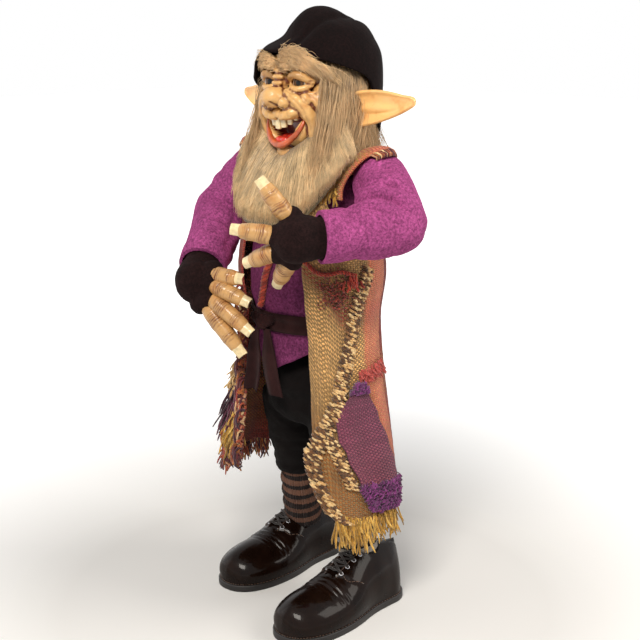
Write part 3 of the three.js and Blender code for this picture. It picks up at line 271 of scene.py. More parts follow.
def joined(name, pieces):
    """Joins pieces into one."""
    fresh_start()
    for piece in pieces:
        piece.select_set(True)
    bpy.context.view_layer.objects.active = pieces[0]
    bpy.ops.object.join()
    return named(name)


def reshaped(piece, move):
    """Moves each point of a piece by move(point, normal), in the figure's millimetres."""
    normals = [v.normal.copy() for v in piece.data.vertices]
    for vertex, normal in zip(piece.data.vertices, normals):
        x, y, z = vertex.co * 1000
        place = Vector((x - AXIS_X * 1000, y - AXIS_Y * 1000, z))
        vertex.co = at(*move(place, normal))
    piece.data.update()
    return piece


def lump(centre, half, turn=(0, 0, 0), sides=24, rings=16):
    """An egg-shaped start for a sculpted form, with its turn in degrees."""
    fresh_start()
    bpy.ops.mesh.primitive_uv_sphere_add(segments=sides, ring_count=rings, radius=1, location=at(*centre))
    piece = bpy.context.object
    piece.scale = Vector(half) / 1000
    piece.rotation_euler = [radians(a) for a in turn]
    return settle(piece)


def fused(name, pieces, voxel, smoothing=6):
    """One closed skin over several overlapping forms."""
    piece = joined(name, pieces)
    changed(piece, "REMESH", mode="VOXEL", voxel_size=voxel / 1000)
    return changed(piece, "SMOOTH", factor=0.5, iterations=smoothing)


def cut_round(piece, start, along, radius, depth):
    """Cuts a round hole into a piece, from a place and along a direction."""
    fresh_start()
    bpy.ops.mesh.primitive_cylinder_add(
        vertices=48, radius=radius / 1000, depth=depth / 1000, location=at(*(start + along * depth / 2))
    )
    cutter = bpy.context.object
    cutter.rotation_euler = along.to_track_quat("Z", "Y").to_euler()
    settle(cutter)
    changed(piece, "BOOLEAN", object=cutter, operation="DIFFERENCE", solver="EXACT")
    bpy.data.objects.remove(cutter, do_unlink=True)


def grid_sheet(name, across, down, place, width, length, shade=None):
    """A sheet made from a flat grid. place(u, v) gives each point, and the UV map is in metres."""
    fresh_start()
    bpy.ops.mesh.primitive_grid_add(x_subdivisions=across, y_subdivisions=down, size=1, location=(0, 0, 0))
    piece = named(name)
    mesh = piece.data
    flat = [(v.co.x + 0.5, v.co.y + 0.5) for v in mesh.vertices]
    for loop, spot in zip(mesh.loops, mesh.uv_layers.active.data):
        u, v = flat[loop.vertex_index]
        spot.uv = (u * width / 1000, v * length / 1000)
    for vertex, (u, v) in zip(mesh.vertices, flat):
        vertex.co = at(*place(u, v))
    if shade:
        values = mesh.attributes.new("shade", "FLOAT", "POINT")
        values.data.foreach_set("value", [shade(u, v) for u, v in flat])
    mesh.update()
    return piece


def thick(piece, thickness, offset=0.0):
    """Gives a sheet its thickness in millimetres."""
    return changed(piece, "SOLIDIFY", thickness=thickness / 1000, offset=offset, use_quality_normals=True)


def stitched_mesh(name, points, faces, tints=None):
    """A piece from points in millimetres, with an optional shade from 0 to 1 for each point."""
    mesh = bpy.data.meshes.new(name)
    moved = np.asarray(points, dtype=np.float64) / 1000 + np.array((AXIS_X, AXIS_Y, 0.0))
    mesh.from_pydata(moved.tolist(), [], faces)
    if tints is not None:
        shade = mesh.attributes.new("shade", "FLOAT", "POINT")
        shade.data.foreach_set("value", np.asarray(tints, dtype=np.float32))
    mesh.update()
    piece = bpy.data.objects.new(name, mesh)
    bpy.context.collection.objects.link(piece)
    return soft_shaded(piece)


def tube_mesh(routes, radii, sides, shades, tips=0.25):
    """Points, faces and shades of closed tubes along routes. tips is the share of width left at an end."""
    points, faces, tints = [], [], []
    for route, radius, shade in zip(routes, radii, shades):
        start = len(points)
        first, second = side_on(route[-1] - route[0])
        last = len(route) - 1
        for i, spot in enumerate(route):
            ahead = route[min(i + 1, last)] - route[max(i - 1, 0)]
            if ahead.length > 1e-6:
                first = (first - ahead * (first.dot(ahead) / ahead.length_squared)).normalized()
                second = ahead.normalized().cross(first)
            width = radius * (tips if i == last else 1)
            for k in range(sides):
                turn = 2 * pi * k / sides
                points.append(spot + (first * cos(turn) + second * sin(turn)) * width)
                tints.append(shade)
        for i in range(last):
            for k in range(sides):
                a = start + i * sides + k
                b = start + i * sides + (k + 1) % sides
                faces.append((a, b, b + sides, a + sides))
        faces.append(tuple(start + k for k in reversed(range(sides))))
        faces.append(tuple(start + last * sides + k for k in range(sides)))
    return points, faces, tints


def tubes(name, routes, radii, sides=5, shades=None, tips=0.25):
    """One piece of many yarns or strands."""
    shades = shades or [0.5] * len(routes)
    return stitched_mesh(name, *tube_mesh(routes, radii, sides, shades, tips))


# Sizes and colours that a user would change


def tone(red, green, blue):
    """A colour from screen values of 0 to 255, made linear for the shader."""
    parts = [value / 255 for value in (red, green, blue)]
    return tuple(c / 12.92 if c <= 0.04045 else ((c + 0.055) / 1.055) ** 2.4 for c in parts)


def colour_choice(name, description, *screen):
    """A colour property with its default in screen values."""
    return bpy.props.FloatVectorProperty(
        name=name, description=description, subtype="COLOR", size=3, min=0, max=1, default=tone(*screen)
    )


def size_choice(name, description, default):
    """A length property, with its default in millimetres."""
    return bpy.props.FloatProperty(
        name=name,
        description=description,
        default=default / 1000,
        min=0.00005,
        soft_max=0.2,
        precision=5,
        unit="LENGTH",
    )


class GoblinSizes(bpy.types.PropertyGroup):
    """Sizes of the figure's cloth, yarn and hair."""

    felt: size_choice("Felt", "Thickness of the tunic, sleeve and hat felt", 2.6)
    weave: size_choice("Weave", "Thickness of the hand-woven vest cloth", 2.4)
    thread_pitch: size_choice("Thread pitch", "Distance between neighbouring threads of the vest", 2.6)
    yarn: size_choice("Yarn", "Thickness of a fringe yarn", 1.5)
    hair: size_choice("Hair", "Thickness of a hair strand at its root", 0.62)
    stripe: size_choice("Sock stripe", "Height of one stripe of the socks", 6.0)
    braid: size_choice("Tie cord", "Diameter of the red braided tie cord", 7.0)
    lace: size_choice("Lace", "Diameter of a shoe lace", 2.4)


class GoblinColours(bpy.types.PropertyGroup):
    """Main colours of the figure."""

    purple: colour_choice("Purple felt", "Felt of the tunic and sleeves", 140, 64, 112)
    black: colour_choice("Black felt", "Felt of the hat and gloves", 26, 14, 14)
    tan: colour_choice("Tan thread", "Lighter thread of the vest fronts", 206, 160, 98)
    brown: colour_choice("Brown thread", "Darker thread of the vest fronts", 128, 84, 44)
    red: colour_choice("Red thread", "Thread of the vest's side bands and back", 158, 56, 46)
    gold: colour_choice("Gold yarn", "Yarn of the lower fringes", 196, 146, 52)
    skin: colour_choice("Skin", "Paint of the face, ears and hands", 216, 170, 108)
    # The crease colour serves both the brown wash and the painted shade in the wrinkles and hollows.
    crease: colour_choice("Crease", "Brown wash in the wrinkles", 96, 42, 16)
    hair: colour_choice("Hair", "Fur of the wig and brows", 204, 170, 126)
    beard: colour_choice("Beard", "Fur of the beard", 220, 190, 144)
    leather: colour_choice("Leather", "Shoe leather", 20, 10, 6)
    cloth: colour_choice("Trouser cloth", "Cloth of the trousers", 14, 10, 10)


def sizes():
    """The figure's sizes, in millimetres."""
    chosen = bpy.context.scene.goblin_sizes
    return SimpleNamespace(**{key: getattr(chosen, key) * 1000 for key in GoblinSizes.__annotations__})


def colours():
    """The figure's colours."""
    return bpy.context.scene.goblin_colours


# Finishes


def shifted(colour, by):
    """A lighter or darker colour."""
    return tuple(min(c * by, 1) for c in colour[:3])


class Finish:
    """A material's nodes, built round one principled shader."""

    def __init__(self, name, **sockets):
        self.material = bpy.data.materials.new(name)
        self.material.use_nodes = True
        self.tree = self.material.node_tree
        self.shader = self.tree.nodes["Principled BSDF"]
        for key, value in sockets.items():
            self.shader.inputs[key.replace("_", " ")].default_value = value
        self.normal = None

    def add(self, kind, inputs=(), **settings):
        """Adds a node. An input that is a socket is linked, and any other is set."""
        made = self.tree.nodes.new("ShaderNode" + kind)
        for key, value in settings.items():
            setattr(made, key, value)
        for key, value in dict(inputs).items():
            if isinstance(value, bpy.types.NodeSocket):
                self.tree.links.new(value, made.inputs[key])
            else:
                made.inputs[key].default_value = value
        return made

    def place(self, kind="Object", stretch=None):
        """Coordinates in metres, stretched along each axis if asked."""
        where = self.add("TexCoord").outputs[kind]
        if stretch is None:
            return where
        return self.add("Mapping", {"Vector": where, "Scale": stretch}).outputs["Vector"]

    def noise(self, where, scale, detail=3.0, rough=0.55):
        """Cloudy noise with so many lumps in a metre."""
        inputs = {"Vector": where, "Scale": scale, "Detail": detail, "Roughness": rough}
        return self.add("TexNoise", inputs).outputs["Fac"]

    def cells(self, where, scale):
        """Distance to the nearest of so many scattered cells in a metre."""
        return self.add("TexVoronoi", {"Vector": where, "Scale": scale}).outputs["Distance"]

    def chance(self, value):
        """A random value for each whole number."""
        return self.add("TexWhiteNoise", {"W": value}, noise_dimensions="1D").outputs["Value"]

    def sum(self, operation, first, second=0.0):
        """One step of arithmetic."""
        return self.add("Math", {0: first, 1: second}, operation=operation).outputs[0]

    def split(self, where):
        """The three parts of a coordinate."""
        return self.add("SeparateXYZ", {"Vector": where}).outputs

    def shade(self):
        """The shade that is stored in the piece's points."""
        return self.add("Attribute", attribute_name="shade").outputs["Fac"]

    def ramp(self, value, *stops):
        """Colours along a value. Each stop is a place and a colour, or a number for a grey."""
        made = self.add("ValToRGB", {"Fac": value})
        elements = made.color_ramp.elements
        while len(elements) < len(stops):
            elements.new(1.0)
        for element, (spot, colour) in zip(elements, stops):
            element.position = spot
            element.color = self.full(colour)
        return made.outputs["Color"]

    def grey(self, value, low, high, start=0.0, end=1.0):
        """A value moved to run from low to high."""
        inputs = {"Value": value, "From Min": start, "From Max": end, "To Min": low, "To Max": high}
        return self.add("MapRange", inputs).outputs["Result"]

    def blend(self, share, first, second, kind="MIX"):
        """Two colours mixed."""
        inputs = {0: share, 6: self.full(first), 7: self.full(second)}
        return self.add("Mix", inputs, data_type="RGBA", blend_type=kind).outputs[2]

    @staticmethod
    def full(colour):
        """A colour with its alpha. A number is a grey, and a socket stays as it is."""
        if isinstance(colour, bpy.types.NodeSocket):
            return colour
        return (*colour[:3], 1) if hasattr(colour, "__len__") else (colour, colour, colour, 1)

    def times(self, first, *others):
        """Colours multiplied together."""
        for other in others:
            first = self.blend(1.0, first, other, "MULTIPLY")
        return first

    def colour(self, *layers):
        """Links the base colour, which is the layers multiplied together."""
        self.tree.links.new(self.times(*layers), self.shader.inputs["Base Color"])

    def gloss(self, socket):
        """Links the roughness."""
        self.tree.links.new(socket, self.shader.inputs["Roughness"])

    def bump(self, height, strength, depth):
        """Adds a bump over those before it, with its depth in millimetres."""
        inputs = {"Height": height, "Strength": strength, "Distance": depth / 1000}
        if self.normal:
            inputs["Normal"] = self.normal
        self.normal = self.add("Bump", inputs).outputs["Normal"]
        self.tree.links.new(self.normal, self.shader.inputs["Normal"])


FINISHES = {}


def finish_of(name, build):
    """The finish of that name, built once."""
    if name not in FINISHES:
        FINISHES[name] = build(name).material
    return FINISHES[name]


def recipe(make):
    """Lets a finish be chosen by its colours first, and built when a piece gives it a name."""
    return lambda *choices: lambda name: make(name, *choices)


@recipe
def felt(name, colour, depth=0.75, fuzz=0.5):
    """Pressed wool felt: cloudy colour, matted fibres and a soft sheen."""
    wool = Finish(name, Roughness=0.95, Specular_IOR_Level=0.12, Sheen_Weight=fuzz, Sheen_Roughness=0.45)
    wool.shader.inputs["Sheen Tint"].default_value = (*shifted(colour, 1.6), 1)
    where = wool.place()
    clouds = wool.noise(where, 55, 4)
    lint = wool.noise(where, 420, 3, 0.7)
    body = wool.ramp(clouds, (0.3, shifted(colour, depth)), (0.52, colour), (0.72, shifted(colour, 1.12)))
    wool.colour(body, wool.ramp(lint, (0.36, 0.55), (0.52, 1.0), (0.68, 1.5)))
    wool.bump(wool.noise(where, 160, 4, 0.6), 0.35, 1.2)
    wool.bump(lint, 0.5, 0.5)
    return wool


@recipe
def weave(name, warp, weft, width, length, pitch, plain_from=1.0):
    """Coarse hand weaving. warp and weft give thread colours as stops across the sheet and along it.

    From a share of the width on, the weft mostly takes the colour of the warp.
    """
    cloth = Finish(name, Roughness=0.9, Sheen_Weight=0.15, Sheen_Roughness=0.5)
    where = cloth.place("UV")
    u, v, _ = cloth.split(where)
    sway = cloth.grey(cloth.noise(where, 130, 2), -0.35, 0.35)
    x = cloth.sum("ADD", cloth.sum("DIVIDE", u, pitch * 1.25 / 1000), sway)
    y = cloth.sum("ADD", cloth.sum("DIVIDE", v, pitch * 0.85 / 1000), sway)
    column = cloth.sum("FLOOR", x)
    row = cloth.sum("FLOOR", y)
    over = cloth.sum("MODULO", cloth.sum("ADD", column, row), 2.0)
    drift = cloth.grey(cloth.noise(where, 26, 2), -0.07, 0.07)
    warp_place = cloth.sum("ADD", cloth.sum("DIVIDE", u, width / 1000), drift)
    weft_place = cloth.sum("ADD", cloth.sum("DIVIDE", v, length / 1000), drift)
    warp_lift = cloth.ramp(cloth.chance(column), (0.0, 0.9), (1.0, 1.1))
    weft_lift = cloth.ramp(cloth.chance(row), (0.0, 0.74), (1.0, 1.25))
    warp_thread = cloth.times(cloth.ramp(warp_place, *warp), warp_lift)
    weft_thread = cloth.times(cloth.ramp(weft_place, *weft), weft_lift)
    plain = cloth.grey(warp_place, 0, 0.65, plain_from - 0.03, plain_from + 0.03)
    thread = cloth.blend(over, warp_thread, cloth.blend(plain, weft_thread, warp_thread))
    arch_x, arch_y = (
        cloth.sum("SINE", cloth.sum("MULTIPLY", cloth.sum("FRACT", place), pi)) for place in (x, y)
    )
    height = cloth.sum("POWER", cloth.sum("MULTIPLY", arch_x, arch_y), 0.6)
    # Painted shade between the threads: the colour darkens where the arches of the threads fall away.
    thread_gap_shade = cloth.ramp(height, (0.0, 0.3), (0.5, 1.0))
    soiled = cloth.ramp(cloth.noise(where, 40, 3), (0.3, 0.75), (0.6, 1.05))
    cloth.colour(thread, thread_gap_shade, soiled)
    cloth.bump(height, 0.9, 1.1)
    cloth.bump(cloth.noise(where, 900, 2), 0.4, 0.4)
    return cloth


@recipe
def yarn(name, *stops):
    """Spun yarn whose colour is picked by each strand's own shade."""
    wool = Finish(name, Roughness=0.9, Sheen_Weight=0.3, Sheen_Roughness=0.5)
    where = wool.place()
    slubs = wool.ramp(wool.noise(where, 320, 3), (0.3, 0.6), (0.7, 1.25))
    wool.colour(wool.ramp(wool.shade(), *stops), slubs)
    wool.bump(wool.noise(where, 700, 2), 0.6, 0.4)
    return wool


@recipe
def fur(name, colour):
    """Long hair with painted shade: darker at its roots, deep in the hair, and paler at its ends."""
    hair = Finish(name, Roughness=0.5, Sheen_Weight=0.2, Sheen_Roughness=0.4)
    dark, dim, pale = (shifted(colour, by) for by in (0.22, 0.55, 1.3))
    body = hair.ramp(hair.shade(), (0.0, dark), (0.3, dim), (0.65, colour), (1.0, pale))
    hair.colour(body, hair.ramp(hair.noise(hair.place(), 70, 3), (0.3, 0.72), (0.65, 1.12)))
    hair.bump(hair.noise(hair.place(stretch=(1, 1, 0.15)), 1500, 2), 0.3, 0.2)
    return hair


@recipe
def painted_skin(name, colour, crease, shine=0.35):
    """Painted rubber skin: ochre, with a brown wash and painted shade that lie in the creases and hollows.
    """
    skin = Finish(name, Specular_IOR_Level=0.3, Coat_Weight=shine, Coat_Roughness=0.16)
    where = skin.place()
    cloud = skin.noise(where, 75, 4)
    depth = skin.sum("ADD", skin.shade(), skin.grey(skin.noise(where, 240, 4, 0.7), -0.2, 0.28))
    middle = tuple(mix(a, b, 0.42) for a, b in zip(colour, crease))
    # Brown wash and painted shade, darker as the stored shade rises.
    wash_and_shade = skin.ramp(depth, (0.0, shifted(colour, 1.08)), (0.28, colour), (0.55, middle), (1.0, crease))
    blush = skin.ramp(cloud, (0.35, (1.06, 1.05, 1.0)), (0.52, 1.0), (0.72, (0.88, 0.68, 0.5)))
    skin.colour(wash_and_shade, blush)
    skin.gloss(skin.grey(cloud, 0.34, 0.56, 0.3, 0.7))
    skin.bump(skin.noise(where, 260, 4, 0.65), 0.3, 0.8)
    skin.bump(skin.cells(where, 900), 0.18, 0.25)
    return skin


@recipe
def glazed(name, colour, roughness, mottle=0.25, coat=0.6):
    """Glossy painted or enamelled stuff with a little cloudiness."""
    glaze = Finish(name, Roughness=roughness, Coat_Weight=coat, Coat_Roughness=0.12)
    cloud = glaze.noise(glaze.place(), 160, 4)
    glaze.colour(glaze.ramp(cloud, (0.3, shifted(colour, 1 - mottle)), (0.7, shifted(colour, 1 + mottle))))
    glaze.bump(glaze.noise(glaze.place(), 500, 3), 0.15, 0.3)
    return glaze


@recipe
def leather(name, colour):
    """Polished shoe leather: fine grain, scuffs on raised parts and a waxed shine."""
    hide = Finish(name, Specular_IOR_Level=0.04, Coat_Weight=0.2, Coat_Roughness=0.08)
    where = hide.place()
    cloud = hide.noise(where, 45, 4)
    wear = hide.ramp(hide.shade(), (0.0, colour), (0.6, shifted(colour, 1.7)), (1.0, shifted(colour, 3.2)))
    hide.colour(wear, hide.ramp(cloud, (0.3, 0.65), (0.7, (1.5, 1.35, 1.25))))
    hide.gloss(hide.grey(cloud, 0.2, 0.42, 0.3, 0.7))
    hide.bump(hide.cells(where, 1100), 0.16, 0.25)
    hide.bump(hide.noise(where, 170, 4), 0.14, 0.9)
    return hide


@recipe
def plain_cloth(name, colour, pitch=0.9):
    """Fine woven cloth with a twill line."""
    cloth = Finish(name, Roughness=0.9, Specular_IOR_Level=0.1, Sheen_Weight=0.03)
    x, y, z = cloth.split(cloth.place())
    lean = cloth.sum("ADD", cloth.sum("ADD", x, y), z)
    twill = cloth.sum("SINE", cloth.sum("MULTIPLY", lean, 2000 * pi / pitch))
    cloud = cloth.noise(cloth.place(), 60, 4)
    body = cloth.ramp(cloud, (0.3, shifted(colour, 0.7)), (0.7, shifted(colour, 1.5)))
    cloth.colour(body, cloth.ramp(cloth.grey(twill, 0, 1, -1, 1), (0.0, 0.7), (1.0, 1.15)))
    cloth.bump(twill, 0.25, 0.3)
    cloth.bump(cloth.noise(cloth.place(), 500, 3), 0.3, 0.4)
    return cloth


@recipe
def knit(name, dark, light, stripe):
    """Striped rib knitting on the sock's own UV map in metres."""
    wool = Finish(name, Roughness=0.95, Specular_IOR_Level=0.15, Sheen_Weight=0.1)
    where = wool.place("UV")
    u, v, _ = wool.split(where)
    rough_edge = wool.grey(wool.noise(where, 500, 2), -0.12, 0.12)
    turn = wool.sum("ADD", wool.sum("DIVIDE", v, 2 * stripe / 1000), rough_edge)
    band = wool.sum("GREATER_THAN", wool.sum("FRACT", turn), 0.5)
    leg = wool.sum("SINE", wool.sum("MULTIPLY", u, 2000 * pi / 2.4))
    lean = wool.sum("ADD", wool.sum("DIVIDE", v, 0.0018), wool.sum("ABSOLUTE", leg))
    stitch = wool.sum("ABSOLUTE", wool.sum("SINE", wool.sum("MULTIPLY", lean, pi)))
    # Painted shade between the stitches: the colour darkens in the low parts of the stitch pattern.
    wool.colour(wool.blend(band, dark, light), wool.ramp(stitch, (0.0, 0.5), (0.6, 1.1)))
    wool.bump(leg, 0.6, 0.6)
    wool.bump(stitch, 0.6, 0.5)
    return wool


def turned_wood(name):
    """Pale hardwood of the inner frame, with its grain along the height."""
    wood = Finish(name, Roughness=0.6)
    grain = wood.noise(wood.place(stretch=(1, 1, 0.08)), 320, 5)
    wood.colour(wood.ramp(grain, (0.3, tone(150, 104, 58)), (0.7, tone(206, 166, 112))))
    wood.bump(grain, 0.2, 0.3)
    return wood


def bright_steel(name):
    """Drawn steel of the bolts, pins and leg rods."""
    steel = Finish(name, Metallic=1.0)
    marks = steel.noise(steel.place(stretch=(1, 1, 0.1)), 900, 3)
    steel.colour(steel.ramp(marks, (0.3, tone(150, 150, 154)), (0.7, tone(196, 196, 200))))
    steel.gloss(steel.grey(marks, 0.25, 0.5))
    return steel


def dressed(piece, name, build, body, slot, *nodes):
    """Gives a piece its finish and the body it rides on, and hides the CAD nodes it stands for. slot is not
    used.
    """
    piece.data.materials.clear()
    piece.data.materials.append(finish_of(name, build))
    if body:
        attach(piece, body)
    if nodes:
        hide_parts(*nodes)
    return piece


# Studio

VIEW_AZIMUTH = 44  # degrees from the figure's front towards its left
VIEW_DISTANCE = 1210
VIEW_HEIGHT = 592
AIM_HEIGHT = 292
FOCAL_PIXELS = 1240
IMAGE_PIXELS = 640
SENSOR = 36.0
AXIS_LEFT_OF_MIDDLE = 8  # pixels
SURROUND_LIGHT = 0.2  # what the white surround adds to the lamps


def seen_directly(tree):
    """1 for what the camera, a reflection or clear glass sees, and 0 for the light on the figure."""
    rays = tree.nodes.new("ShaderNodeLightPath").outputs
    seen = rays["Is Camera Ray"]
    for kind in ("Is Glossy Ray", "Is Transmission Ray"):
        either = tree.nodes.new("ShaderNodeMath")
        either.operation = "MAXIMUM"
        tree.links.new(seen, either.inputs[0])
        tree.links.new(rays[kind], either.inputs[1])
        seen = either.outputs[0]
    return seen


def set_camera():
    """The photograph's viewpoint."""
    turn = radians(VIEW_AZIMUTH)
    eye = at(VIEW_DISTANCE * sin(turn), -VIEW_DISTANCE * cos(turn), VIEW_HEIGHT)
    data = bpy.data.cameras.new("camera")
    data.sensor_width = SENSOR
    data.lens = FOCAL_PIXELS / IMAGE_PIXELS * SENSOR
    data.shift_x = AXIS_LEFT_OF_MIDDLE / IMAGE_PIXELS
    camera = bpy.data.objects.new("camera", data)
    camera.location = eye
    camera.rotation_euler = (at(0, 0, AIM_HEIGHT) - eye).to_track_quat("-Z", "Y").to_euler()
    bpy.context.collection.objects.link(camera)
    bpy.context.scene.camera = camera


def add_lamp(name, place, aim, size, watts, colour):
    """A square soft lamp, aimed at a place on the figure."""
    data = bpy.data.lights.new(name, "AREA")
    data.size = size / 1000
    data.energy = watts
    data.color = colour
    lamp = bpy.data.objects.new(name, data)
    lamp.location = at(*place)
    lamp.rotation_euler = (at(*aim) - at(*place)).to_track_quat("-Z", "Y").to_euler()
    bpy.context.collection.objects.link(lamp)


def set_room():
    """A pale floor under a white surround."""
    fresh_start()
    bpy.ops.mesh.primitive_plane_add(size=14, location=(0, 0, 0))
    floor = named("floor")
    paint = Finish("floor_paint", Roughness=0.7)
    speck = paint.noise(paint.place(), 3, 2)
    paint.colour(paint.ramp(speck, (0.3, tone(242, 242, 241)), (0.7, tone(246, 246, 245))))
    out = paint.add("VectorMath", {0: paint.place()}, operation="LENGTH").outputs["Value"]
    far = paint.sum("MULTIPLY", paint.grey(out, 0.0, 1.0, 0.25, 0.9), seen_directly(paint.tree))
    paint.shader.inputs["Emission Color"].default_value = (1, 1, 1, 1)
    paint.tree.links.new(far, paint.shader.inputs["Emission Strength"])
    floor.data.materials.append(paint.material)
    world = bpy.data.worlds.new("studio")
    bpy.context.scene.world = world
    world.use_nodes = True
    tree = world.node_tree
    level = tree.nodes.new("ShaderNodeMapRange")
    level.inputs["To Min"].default_value = SURROUND_LIGHT
    level.inputs["To Max"].default_value = 1.0
    tree.links.new(seen_directly(tree), level.inputs["Value"])
    surround = tree.nodes["Background"]
    surround.inputs["Color"].default_value = (1, 1, 1, 1)
    tree.links.new(level.outputs[0], surround.inputs["Strength"])
    bpy.context.scene.view_settings.view_transform = "Standard"


class GOBLIN_OT_stage(bpy.types.Operator):
    """Adds the camera, the soft lamps and the pale floor"""

    bl_idname = "goblin.stage"
    bl_label = "Stage"

    def execute(self, context):
        set_camera()
        add_lamp("key_lamp", (520, -900, 1250), (0, 0, 330), 480, 17, (1.0, 0.94, 0.86))
        add_lamp("fill_lamp", (-1000, -620, 700), (0, 0, 330), 1000, 2.6, (1.0, 0.97, 0.93))
        add_lamp("rim_lamp", (900, 500, 900), (0, 0, 400), 600, 7, (1.0, 0.94, 0.86))
        set_room()
        return {"FINISHED"}


# Inner frame

WOODEN_NODES = ("spine_post", "chest_block", "pelvis_block", "neck_disc")
STEEL_NODES = ("neck_bolt", "leg_rod_left", "leg_rod_right")


def core_finish(node, name, build):
    """Gives a CAD node its finish."""
    piece = bpy.data.objects[node]
    piece.data.materials.clear()
    piece.data.materials.append(finish_of(name, build))


class GOBLIN_OT_inner_frame(bpy.types.Operator):
    """Finishes the CAD model's wooden cores and steel rods"""

    bl_idname = "goblin.inner_frame"
    bl_label = "Inner frame"

    def execute(self, context):
        cores = [f"{part}_core_{name}" for name, _ in SIDES for part in ("upper_arm", "forearm")]
        pins = [f"{part}_{name}" for name, _ in SIDES for part in ("shoulder_bolt", "elbow_pin")]
        for node in (*WOODEN_NODES, *cores):
            core_finish(node, "turned_wood", turned_wood)
        for node in (*STEEL_NODES, *pins):
            core_finish(node, "bright_steel", bright_steel)
        return {"FINISHED"}


# Tunic, sash and tie cord

TUNIC_HEM_Z = 272
TUNIC_TOP_Z = 455
TUNIC_POINTS = 5
TUNIC_POINT_DROP = 20
TUNIC_GIRTH = 388
SASH_WIDTH = 17
KNOT_ANGLE = -8
CORD_STEPS = 60
CORD_STRANDS = 3
CORD_ROUTE = ((4, 86), (2, 66), (-4, 46), (-9, 28), (-11, 14))  # degrees round, height above the waist


class GOBLIN_OT_tunic(bpy.types.Operator):
    """Makes the purple felt tunic with its pointed hem"""

    bl_idname = "goblin.tunic"
    bl_label = "Tunic"

    def execute(self, context):
        def place(u, v):
            angle = 360 * u
            tab = abs((u * TUNIC_POINTS + 0.5) % 1 - 0.5) * 2
            hem = TUNIC_HEM_Z - TUNIC_POINT_DROP * (1 - tab)
            z = mix(hem, TUNIC_TOP_Z, v)
            half = tunic_half(z) - 0.8
            puff = 2.6 * bell(z - 319, 11)
            spot = round_trunk(angle, half, z)
            folds = 1.6 * ripple((spot.x, spot.y, z * 0.45), 17) + 0.8 * ripple(spot, 8, 3.0)
            flare = 5 * ease(WAIST_Z - 8 - z, 0, 30)
            return round_trunk(angle, half + (puff + folds) * ease(TUNIC_TOP_Z - z, 0, 30) + flare, z)

        tunic = grid_sheet("tunic", 150, 84, place, TUNIC_GIRTH, TUNIC_TOP_Z - TUNIC_HEM_Z)
        outwards(tunic)
        soft_shaded(thick(tunic, sizes().felt, -1))
        # Painted shade: the tunic's felt is the figure's purple darkened to 0.62, while the sleeves' felt is
        # lightened.
        wool = felt(shifted(colours().purple, 0.62))
        dressed(tunic, "purple_felt", wool, "body", "purple_felt", "tunic", "torso_padding")
        return {"FINISHED"}


def ribbon(name, middle, lean, seed, cloth):
    """One hanging end of the sash."""
    long, wide = 64, 19
    top = middle + Vector((copysign(6, lean), 0, -7))

    def place(u, v):
        drop = 1 - v
        spread = mix(0.45, 1, ease(drop, 0, 0.5)) * wide * (u - 0.5)
        wave = 2.2 * sin(2 * pi * u + seed) * drop + 1.4 * sin(5 * drop + seed)
        x = top.x + lean * long * drop + spread
        z = top.z - long * drop - 3 * abs(u - 0.5) * drop
        return x, top.y - 1 - 2 * drop - wave, z

    end = grid_sheet(name, 14, 34, place, wide, long)
    soft_shaded(thick(end, 1.3))
    dressed(end, "sash_cloth", cloth, "body", "sash_cloth", name)


class GOBLIN_OT_sash(bpy.types.Operator):
    """Makes the dark sash with its knot and two hanging ends"""

    bl_idname = "goblin.sash"
    bl_label = "Sash"

    def execute(self, context):
        def place(u, v):
            z = WAIST_Z + SASH_WIDTH * (v - 0.5) * 1.1
            angle = 360 * u
            spot = round_trunk(angle, 60, z)
            pleat = 1.1 * sin(3.2 * pi * v + 1.3 * ripple(spot, 24)) + 0.5 * ripple(spot, 6)
            return round_trunk(angle, sash_half(z) - 1.2 + pleat, z)

        band = outwards(grid_sheet("waist_sash", 140, 14, place, 410, SASH_WIDTH))
        soft_shaded(thick(band, 2.0, -1))
        cloth = plain_cloth(tone(44, 24, 24))
        dressed(band, "sash_cloth", cloth, "body", "sash_cloth", "waist_sash")
        middle = round_trunk(KNOT_ANGLE, sash_half(WAIST_Z) + 4.5, WAIST_Z)
        forms = [
            lump(middle, (8, 6, 8)),
            lump(middle + Vector((-8, 0, 3)), (7, 4.5, 5), (0, 30, 0)),
            lump(middle + Vector((8, 1, 2)), (7, 4.5, 5), (0, -25, 0)),
        ]
        knot = fused("sash_knot", forms, 1.3, 3)
        reshaped(knot, lambda p, n: p + n * 0.8 * sin(p.x * 1.3 + p.z * 0.8))
        soft_shaded(knot)
        dressed(knot, "sash_cloth", cloth, "body", "sash_cloth", "sash_knot")
        for name, lean, seed in (("sash_end_right", -0.12, 1.0), ("sash_end_left", 0.2, 5.0)):
            ribbon(name, middle, lean, seed, cloth)
        return {"FINISHED"}


